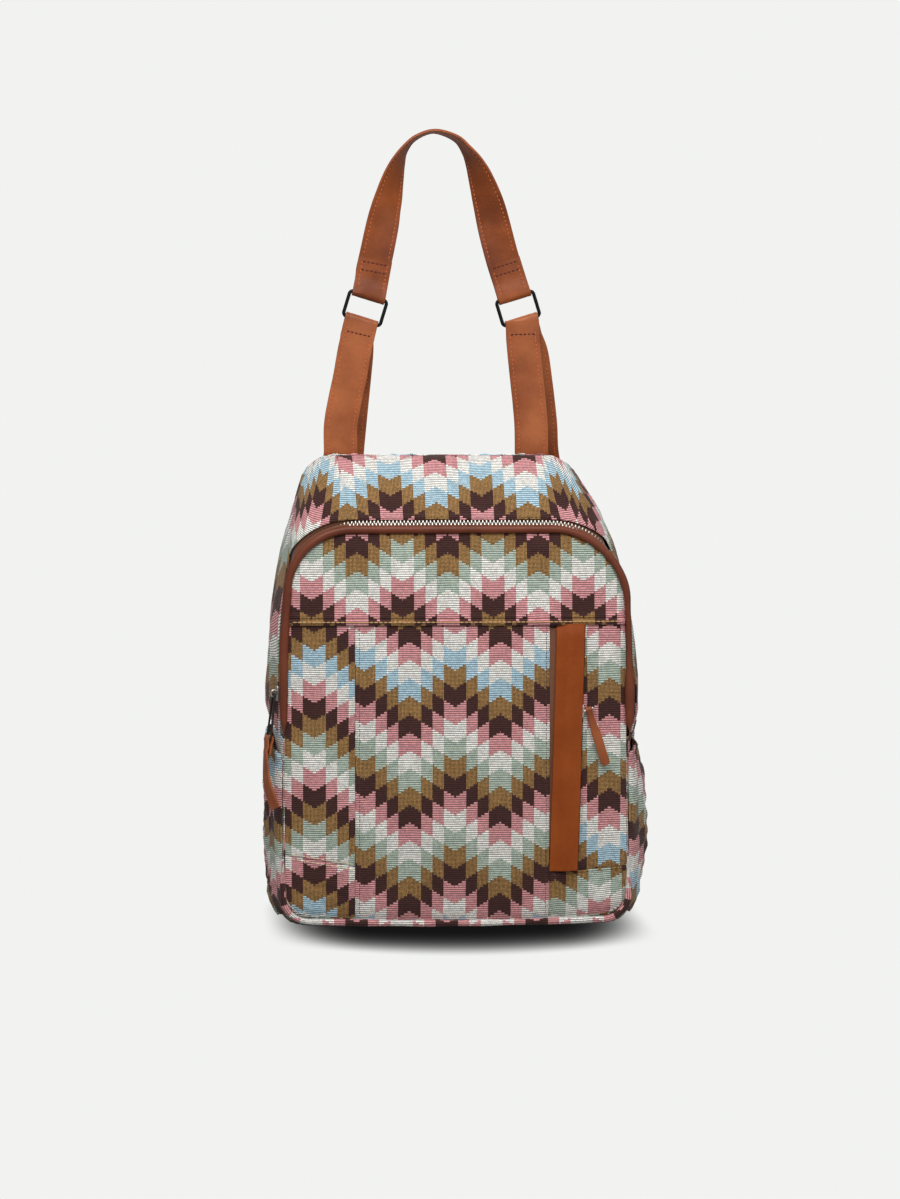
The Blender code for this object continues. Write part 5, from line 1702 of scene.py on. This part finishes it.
def ring_frame(side):
    middle = Vector((side * RING_X + STRAP_SHIFT, RING_Y, RING_Z))
    along = Vector((math.cos(RING_TILT), 0, side * math.sin(RING_TILT)))
    up = Vector((-side * math.sin(RING_TILT), 0, math.cos(RING_TILT)))
    return middle, along, up


def make_ring(name, side):
    middle, along, up = ring_frame(side)
    half = STRAP_WIDTH / 2 + RING_SIDE_ROOM + RING_WIRE
    corners = ((half, 0, -90), (half, RING_PITCH, 0), (-half, RING_PITCH, 90), (-half, 0, 180))
    points = []
    for x, z, start in corners:
        centre_x = x - math.copysign(RING_CORNER, x)
        centre_z = z + RING_CORNER if z == 0 else z - RING_CORNER
        for angle in spread(start, start + 90, 10):
            turn = math.radians(angle)
            points.append(middle + along * (centre_x + RING_CORNER * math.cos(turn))
                          + up * (centre_z + RING_CORNER * math.sin(turn)))
    piece = tube("wire_" + name, points, RING_WIRE, cyclic=True, sides=5)
    finish(piece, [BLACK], body="handle", replaces=[name])
    print(name, "of", len(points), "points")


make_ring("ring_left", -1)
make_ring("ring_right", 1)

# %% [markdown]
# ## Shoulder straps
#
# Each shoulder strap is one long band. It starts on the upper back, comes up and over the back
# edge, turns round the lower bar of its ring and goes down behind the bag to the base. Its route is
# a list of points with the band's tilt at each, read from the photograph where the strap is seen
# and drawn to suit the back where it isn't.

# %% Shoulder straps
HALF_STRAP = STRAP_THICKNESS / 2
RING_SWING_ROOM = 0.00125
LOOP_Y = RING_WIRE + RING_SWING_ROOM + HALF_STRAP
LOOP_UP = RING_WIRE + CLEARANCE + 0.0001 + HALF_STRAP
STRAP_END_X = 0.103
STRAP_END_Z = 0.012
STRAP_TURN_GAP = 0.012
STRAP_CROSS_GAP = 0.0145
STRAP_PATCH_GAP = 0.022
STITCH_START = 0.004
FRONT_LEGS = {
    -1: ((-0.0842, 0.3420, 6), (-0.0841, 0.3622, 8), (-0.0812, 0.3798, 10), (-0.0774, 0.3974, 11),
         (-0.0743, 0.4150, 13), (-0.0718, 0.4262, 16)),
    1: ((0.0556, 0.3420, 4), (0.0553, 0.3622, 5), (0.0539, 0.3798, 7), (0.0520, 0.3974, 9),
        (0.0502, 0.4150, 12), (0.0492, 0.4262, 16)),
}
REAR_LEGS = {
    -1: ((-0.0719, -0.0062, 0.4262, 16), (-0.0720, -0.0045, 0.4150, 13), (-0.0735, -0.0010, 0.3974, 9),
         (-0.0765, 0.0040, 0.3651, 5), (-0.0789, 0.0100, 0.3358, 3)),
    1: ((0.0521, -0.0062, 0.4262, 16), (0.0565, -0.0045, 0.4150, 13), (0.0596, -0.0010, 0.3974, 9),
        (0.0639, 0.0040, 0.3651, 5), (0.0668, 0.0100, 0.3358, 3)),
}
BACK_RUN = ((0.0810, 0.0270, 0.2900, 4), (0.0890, 0.0440, 0.2300, 5), (0.0945, 0.0550, 0.1700, 5),
            (0.0990, 0.0585, 0.1150, 5), (0.1015, 0.0540, 0.0750, 4), (0.1028, 0.0465, 0.0550, 3))


def tilted(side, degrees):
    angle = math.radians(degrees)
    return Vector((math.cos(angle), 0, side * math.sin(angle)))


def back_y(x, z, lift):
    """How far back the bag's back lies at a place seen from the front."""
    return float(back_points(x - back_shift(z), z, lift)[..., 1])


def strap_stations(side):
    middle, along, up = ring_frame(side)
    seat = 2 * CLEARANCE + HALF_STRAP
    foot_x, foot_z = FRONT_LEGS[side][0][:2]
    head_z = FRONT_LEGS[side][-1][1]
    edge = back_plane(BACK_TOP) + seat
    route = [(foot_x + side * 0.001, back_y(foot_x, z, seat), z, 4) for z in (0.300, 0.320, 0.336)]
    for x, z, tilt in FRONT_LEGS[side]:
        part = (z - foot_z) / (head_z - foot_z)
        route.append((x, edge + (RING_Y - LOOP_Y - edge) * part, z, tilt))
    stations = [(Vector((x, y, z)), tilted(side, tilt)) for x, y, z, tilt in smooth(route, 8)]
    stations += round_bar(middle, up * LOOP_UP, Vector((0, -LOOP_Y, 0)), along)
    route = list(REAR_LEGS[side]) + [(side * x, y, z, tilt) for x, y, z, tilt in BACK_RUN]
    for z, free in ((0.042, 0.0020), (0.032, 0), (0.022, 0), (STRAP_END_Z, 0)):
        route.append((side * STRAP_END_X, float(back_points(STRAP_END_X, z, seat + free)[..., 1]), z, 3))
    return stations + [(Vector((x, y, z)), tilted(side, tilt)) for x, y, z, tilt in smooth(route, 8)]


def make_straps():
    for label, side in (("left", -1), ("right", 1)):
        strap = Band(strap_stations(side), STRAP_WIDTH, STRAP_THICKNESS)
        piece = strap.mesh("leather_strap_" + label)
        finish(piece, BAND_LOOKS, replaces=["shoulder_strap_" + label])
        turn = strap.run[np.argmax(strap.centres[:, 2])]
        rows = strap.edge_stitches(STITCH_START, turn - STRAP_TURN_GAP)
        rows += strap.edge_stitches(turn + STRAP_TURN_GAP, strap.length - STRAP_PATCH_GAP)
        sew("stitches_strap_" + label, rows, ORANGE_THREAD)
        sew("stitches_across_" + label, strap.cross_stitches(turn - STRAP_CROSS_GAP), RUST_THREAD,
            "tan_leather", "bag", *CROSS_STITCH)
        print("strap", label, round(strap.length, 3), "m long")


make_straps()

# %% [markdown]
# ## Handle
#
# The handle is one band too. It turns round the rings' upper bars, and its ends are folded up in
# front and sewn down with two rows across. From one ring to the other it twists a quarter turn
# each way, so that it stands edge-on at the top.

# %% Handle
HANDLE_TAB = 0.0265
HANDLE_NECK = 0.012
HANDLE_CROSS_ROWS = (0.0028, 0.0088)
ARCH = ((-0.0603, 0.4756, 0), (-0.0574, 0.4883, 4), (-0.0535, 0.5069, 12), (-0.0508, 0.5200, 26),
        (-0.0486, 0.5289, 35), (-0.0466, 0.5376, 45), (-0.0442, 0.5464, 55), (-0.0411, 0.5552, 67),
        (-0.0369, 0.5636, 79), (-0.0291, 0.5719, 86), (-0.0153, 0.5768, 90), (0.0003, 0.5719, 94),
        (0.0081, 0.5636, 101), (0.0133, 0.5552, 113), (0.0172, 0.5464, 125), (0.0203, 0.5376, 135),
        (0.0230, 0.5289, 145), (0.0255, 0.5200, 154), (0.0296, 0.5030, 168), (0.0340, 0.4864, 176),
        (0.0373, 0.4756, 180))


def handle_stations():
    """One end, the arch, and the other end backwards."""
    radius = RING_WIRE + CLEARANCE + 0.0001 + HALF_STRAP
    layers = HALF_STRAP + HALF_GAP
    between = (layers + radius) / 2
    fold = [(HANDLE_TAB, -layers), (HANDLE_TAB * 0.7, -layers), (HANDLE_NECK, -layers),
            (HANDLE_NECK / 2, -between)]
    ends = {}
    for side in (-1, 1):
        middle, along, up = ring_frame(side)
        bar = middle + up * RING_PITCH
        across = along * -side
        foot_x, foot_z = ARCH[1 if side < 0 else -2][:2]
        lean = Vector((foot_x - bar.x, 0, foot_z - bar.z)).normalized()
        stations = [(bar + lean * height + Vector((0, y, 0)), across) for height, y in smooth(fold, 4)]
        stations += round_bar(bar, up * -radius, Vector((0, -radius, 0)), across)
        for height, y in ((HANDLE_NECK / 2, between), (HANDLE_NECK, layers)):
            stations.append((bar + lean * height + Vector((0, y, 0)), across))
        ends[side] = stations
    arch = []
    route = smooth(ARCH, 5)
    for number, (x, z, twist) in enumerate(route):
        before = route[max(number - 1, 0)]
        after = route[min(number + 1, len(route) - 1)]
        along = Vector((after[0] - before[0], 0, after[1] - before[1])).normalized()
        turn = math.radians(twist)
        across = Vector((along.z, 0, -along.x)) * abs(math.cos(turn)) + Vector((0, math.sin(turn), 0))
        arch.append((Vector((x, RING_Y + layers, z)), across))
    return ends[-1] + arch + ends[1][::-1]


def make_handle():
    handle = Band(handle_stations(), STRAP_WIDTH, STRAP_THICKNESS)
    piece = handle.mesh("leather_handle")
    finish(piece, [HANDLE_SHADED_LEATHER, EDGE_PAINT_AND_HIGHLIGHT, GROOVE_SHADE], body="handle", replaces=["handle_strap"])
    tab = HANDLE_TAB - STITCH_START
    inner = 2 * HANDLE_TAB + HANDLE_NECK
    rows = handle.edge_stitches(STITCH_START, tab) + handle.edge_stitches(inner, handle.length - inner)
    rows += handle.edge_stitches(handle.length - tab, handle.length - STITCH_START)
    sew("stitches_handle", rows, ORANGE_THREAD, body="handle")
    rows = []
    for place in HANDLE_CROSS_ROWS:
        rows += handle.cross_stitches(place) + handle.cross_stitches(handle.length - place)
    sew("stitches_handle_across", rows, RUST_THREAD, "tan_leather", "handle", *CROSS_STITCH)
    print("handle", round(handle.length, 3), "m long")


make_handle()

# %% [markdown]
# ## Patches of the lower strap ends
#
# The lower ends of the straps are not seen in the photograph. Here they are held at the foot of
# the back by plain leather patches.

# %% Strap patches
PATCH_WIDTH = 0.031
PATCH_HEIGHT = 0.020
PATCH_THICKNESS = 0.0015
PATCH_EDGE = 0.0004


def make_patch(label, side):
    low = STRAP_END_Z - 0.001
    left, right = (fixed(side * STRAP_END_X + half) for half in (PATCH_WIDTH / 2, -PATCH_WIDTH / 2))
    columns, rows = (steps(length, 0.002, 0.002, 0.0007, 0.002) for length in (PATCH_WIDTH, PATCH_HEIGHT))
    patch = panel(back_points, left, right, (low,) * 2, (low + PATCH_HEIGHT,) * 2, columns, rows, PLAIN_CUT)
    middle = clamp(np.minimum(patch.left, patch.right) / 0.004)
    relief = CLEARANCE * 3 + STRAP_THICKNESS * (0.2 + 0.8 * middle) + PATCH_THICKNESS
    piece = raised("leather_patch_" + label, patch, relief)
    shape(piece, PATCH_THICKNESS, PATCH_EDGE)
    finish(piece, [TAN], replaces=["strap_patch_" + label])
    print("patch", label, len(piece.data.polygons), "faces")


make_patch("left", -1)
make_patch("right", 1)

# %% [markdown]
# ## Main zip slider, link and tab
#
# The main slider stands on the left run of the zip with a small ring, a long wire link and a
# leather tab that turns towards the front as it hangs. Slider, link and tab ride on three bodies,
# so each is a piece of its own. The link is a closed tube round four rounded corners, and the tab
# is a band that turns round the link's foot.

# %% Main zip slider, link and tab
SLIDER_Z = 0.170
SLIDER_LENGTH = 0.011
SLIDER_WIDTH = 0.0074
SLIDER_THICKNESS = 0.0018
BAIL_RADIUS = 0.0023
BAIL_WIRE = 0.0007
LINK_WIRE = 0.00075
LINK_LENGTH = 0.033
LINK_TOP_HALF = 0.0030
LINK_FOOT_HALF = 0.0056
LINK_LEAN = math.radians(6.8)
TAB_WIDTH = 0.009
TAB_THICKNESS = 0.0018
TAB_ROUTE = ((-0.0015, -0.0010, -0.009, 8), (-0.0014, -0.0035, -0.018, 16), (-0.0006, -0.0080, -0.030, 28),
             (0.0024, -0.0115, -0.041, 40), (0.0052, -0.0130, -0.049, 45))
TAB_LAYER = TAB_THICKNESS / 2 + HALF_GAP
TAB_STITCH = (0.0019, 0.00026)


def plate(size, matrix, nose=0.75, bevel=0.0005):
    """Slider plate: a bar narrowed at its nose, with its edges broken."""
    bpy.ops.mesh.primitive_cube_add(size=1)
    piece = bpy.context.object
    bpy.ops.object.mode_set(mode="EDIT")
    bpy.ops.mesh.subdivide(number_cuts=3)
    bpy.ops.object.mode_set(mode="OBJECT")
    for vertex in piece.data.vertices:
        x, y, z = vertex.co
        narrow = 1 - (1 - nose) * abs(y * 2) ** 2
        vertex.co = (x * size[0] * narrow, y * size[1], z * size[2])
    shape(piece, edge=bevel, angle=30)
    piece.matrix_world = matrix
    return piece


def make_main_slider():
    station = STATIONS - FRONT.station_at(SLIDER_Z, 0.0, -1)
    point, out = place_on_band(station, (TEETH_START + TEETH_END) / 2)
    out = Vector((out.x, out.y, 0)).normalized()
    point.z = SLIDER_Z
    up = Vector((0, 0, 1))
    across = up.cross(out)
    lift = TEETH_LIFT + 2 * CLEARANCE + SLIDER_THICKNESS / 2
    middle = point + out * lift
    bail = point + out * (lift + SLIDER_THICKNESS / 2 + BAIL_RADIUS - BAIL_WIRE)
    top = plate((SLIDER_WIDTH, SLIDER_LENGTH, SLIDER_THICKNESS), frame_matrix(across, up, out, middle))
    bpy.ops.mesh.primitive_torus_add(major_radius=BAIL_RADIUS, minor_radius=BAIL_WIRE, major_segments=32,
                                     minor_segments=10)
    ring = bpy.context.object
    ring.matrix_world = frame_matrix(out, up, -across, bail)
    piece = join("slider_main", [top, ring])
    finish(piece, [SILVER], body="main_slider", replaces=["main_zip_slider"])
    return bail, across, up, out


def rounded_loop(corners, radius, count):
    """Closed line through corners rounded off to a radius."""
    points = []
    for number, corner in enumerate(corners):
        corner = Vector(corner)
        before = (corner - Vector(corners[number - 1])).normalized()
        after = (Vector(corners[(number + 1) % len(corners)]) - corner).normalized()
        cut = radius * math.tan(before.angle(after) / 2)
        weight = math.cos(before.angle(after) / 2)
        for part in spread(0, 1, count):
            points.append(conic(corner - before * cut, corner, corner + after * cut, weight, part))
    return points


def make_main_pull(bail, across, up, out):
    down = -up * math.cos(LINK_LEAN) + out * math.sin(LINK_LEAN)
    outline = rounded_loop(((-LINK_TOP_HALF, 0), (LINK_TOP_HALF, 0), (LINK_FOOT_HALF, LINK_LENGTH),
                            (-LINK_FOOT_HALF, LINK_LENGTH)), 0.0012, 8)
    link = tube("wire_main_link", [bail + across * spot.x + down * spot.y for spot in outline], LINK_WIRE,
                cyclic=True, sides=4)
    finish(link, [TARNISHED], body="main_link", replaces=["main_pull_link"])
    foot = bail + down * LINK_LENGTH
    radius = LINK_WIRE + CLEARANCE + TAB_THICKNESS / 2
    inner, outer = foot - out * TAB_LAYER, foot + out * TAB_LAYER
    stations = [(inner + down * 0.011, across), (inner + down * 0.007, across)]
    stations += round_bar(foot, down * -radius, out * -radius, across, -30, 210, 16)
    stations.append((outer + down * 0.006, across))
    for x, y, z, turn in smooth(TAB_ROUTE, 5):
        angle = math.radians(turn)
        stations.append((outer + Vector((x, y, z)), Vector((math.sin(angle), -math.cos(angle), 0))))
    tab = Band(stations, TAB_WIDTH, TAB_THICKNESS)
    piece = tab.mesh("leather_main_tab", grooved=False)
    finish(piece, BAND_LOOKS, body="main_tab", replaces=["main_pull_tab"])
    rows = tab.edge_stitches(0.022, tab.length - 0.003, 0.0028, inset=0.0018)
    sew("stitches_main_tab", rows, RUST_THREAD, "tan_leather", "main_tab", *TAB_STITCH)
    print("main slider, link and tab")


make_main_pull(*make_main_slider())

# %% [markdown]
# ## Pocket zip slider and tab
#
# The front pocket's slider is hidden under the strip. A bar beside it carries a narrow leather loop
# that widens into the tilted tan tab. The bar and its head are cylinders, joined with the slider's
# plate, and the tab's width is a function of the length along it.

# %% Pocket zip slider and tab
PULL_Z = 0.157
PULL_SLIDER = (0.008, 0.010, 0.0013)
PULL_TILT = math.radians(17.4)
PULL_BAR = 0.0009
PULL_BAR_LIFT = 0.0028
PULL_BAR_LENGTH = 0.0068
PULL_BAR_ROOT = 0.0008
PULL_HEAD = 0.0017
PULL_LOOP_WIDTH = 0.0046
PULL_TAB_WIDTH = 0.0066
PULL_TAB_THICKNESS = 0.0011
PIN_EDGE = 0.00015
POCKET_TEETH_INSET = 0.0025
TEETH_TOP_LIFT = 0.0013 + CLEARANCE - 0.0004
PULL_ROUTE = (0.006, 0.009, 0.012, 0.014, 0.016, 0.020, 0.024, 0.028, 0.032, 0.036, 0.039, 0.041, 0.042)


def pull_width(part):
    """Width of the tab at a share of its length: narrow loop, wide tab, round end."""
    wide = PULL_LOOP_WIDTH + (PULL_TAB_WIDTH - PULL_LOOP_WIDTH) * min(max((part - 0.48) / 0.08, 0), 1)
    return wide * (1 - 0.5 * max((part - 0.965) / 0.035, 0) ** 2)


def make_pin(radius, length, matrix):
    bpy.ops.mesh.primitive_cylinder_add(vertices=20, radius=radius, depth=length)
    pin = bpy.context.object
    shape(pin, edge=PIN_EDGE, angle=30)
    pin.matrix_world = matrix
    return pin


def make_pocket_pull():
    zip_up = Vector((STRIP_TOP_LEFT - STRIP_FOOT_LEFT, 0, YOKE_HEM - RIGHT_CORNER_SEAM[0])).normalized()
    zip_out = Vector((0, -1, 0))
    zip_across = zip_up.cross(zip_out)
    point = Vector(front_points(strip_right(PULL_Z) - POCKET_TEETH_INSET, PULL_Z))
    middle = point + zip_out * (TEETH_TOP_LIFT + CLEARANCE + PULL_SLIDER[2] / 2)
    body = plate(PULL_SLIDER, frame_matrix(zip_across, zip_up, zip_across.cross(zip_up), middle), 0.8, 0.0004)
    along = Vector((math.cos(PULL_TILT), 0, math.sin(PULL_TILT)))
    down = Vector((math.sin(PULL_TILT), 0, -math.cos(PULL_TILT)))
    start = point + zip_across * (PULL_SLIDER[0] / 2 - PULL_BAR_ROOT) + zip_out * PULL_BAR_LIFT
    pins = [make_pin(radius, length, frame_matrix(zip_out, along.cross(zip_out), along,
                                                  start + along * (offset + length / 2)))
            for offset, length, radius in ((0.0, PULL_BAR_LENGTH + 0.001, PULL_BAR),
                                           (PULL_BAR_LENGTH, 0.0006, PULL_HEAD))]
    piece = join("slider_pocket", [body, *pins])
    finish(piece, [SILVER], body="pocket_slider", replaces=["pocket_zip_slider"])
    loop = start + along * (PULL_BAR_LENGTH - CLEARANCE - PULL_LOOP_WIDTH / 2 - 0.0002)
    layers = PULL_TAB_THICKNESS / 2 + HALF_GAP
    radius = PULL_BAR + CLEARANCE + PULL_TAB_THICKNESS / 2
    stations = [(loop + down * reach - zip_out * layers, along) for reach in (0.012, 0.006)]
    stations += round_bar(loop, down * -radius, zip_out * -radius, along, -30, 210, 16)
    stations += [(loop + down * reach + zip_out * layers, along) for reach in PULL_ROUTE]
    piece = Band(stations, pull_width, PULL_TAB_THICKNESS).mesh("leather_pocket_tab", grooved=False)
    finish(piece, BAND_LOOKS, body="pocket_tab", replaces=["pocket_pull_tab"])
    print("pocket slider and tab")


make_pocket_pull()

# %% [markdown]
# ## Stitching on the cloth
#
# A line of stitches holds the yoke's hem, two cream lines cross the left corner, and dark ones run
# beside the upright seams and across the right corner. One stitch is copied along each line. Its
# place comes from the same surface and relief as the cloth, so it lies in its groove.

# %% Stitching on the cloth
HEM_STITCH = 0.0025
HEM_LIFT = 0.0020
ROW_PITCH = 0.0034
CORNER_ROW_END = 0.122
CORNER_LIFT = 0.0001


def surface_stitches(points, lift):
    """Stitch frames along a line of (x, z) on the front; lift is the cloth's height there."""
    spots = np.array(points)
    relief = front_wrinkles(spots[:, 0], spots[:, 1]) + lift
    places = front_points(spots[:, 0], spots[:, 1], relief)
    found = []
    for start, end in zip(places[:-1], places[1:]):
        start, end = Vector(start), Vector(end)
        along = (end - start).normalized()
        out = Vector((0, -1, 0))
        side = out.cross(along).normalized()
        found.append(frame_matrix(along, side, along.cross(side), (start + end) / 2))
    return found


def line(start, end):
    count = int(math.dist(start, end) / ROW_PITCH)
    return [(start[0] + (end[0] - start[0]) * n / count, start[1] + (end[1] - start[1]) * n / count)
            for n in range(count + 1)]


def sew_front():
    hem_z = YOKE_HEM + HEM_STITCH
    left, right = (FRONT.width_at(hem_z, 0.006, side) for side in (-1, 1))
    sew("stitches_hem", surface_stitches(line((-left, hem_z), (right, hem_z)), HEM_LIFT), GOLD_THREAD,
        "woven_cloth", length=0.0032, radius=0.00050)
    rows = []
    for offset in (0.0016, -0.0022):
        rows += surface_stitches(line((-CORNER_ROW_END, left_corner_seam(-CORNER_ROW_END) + offset),
                                      (LEFT_SEAM - 0.001, left_corner_seam(LEFT_SEAM) + offset)), CORNER_LIFT)
    sew("stitches_left_corner", rows, CREAM_THREAD, "woven_cloth", length=0.0030, radius=0.00034)
    offset = -0.0016
    rows = surface_stitches(line((RIGHT_SEAM + 0.002, right_corner_seam(RIGHT_SEAM) + offset),
                                 (CORNER_ROW_END, right_corner_seam(CORNER_ROW_END) + offset)), CORNER_LIFT)
    for x in (LEFT_SEAM + 0.0032, RIGHT_SEAM - 0.0026):
        rows += surface_stitches(line((x, 0.008), (x, YOKE_HEM - 0.001)), 0.0)
    sew("stitches_dark", rows, DARK_THREAD, "woven_cloth", length=0.0029, radius=0.00022)


sew_front()
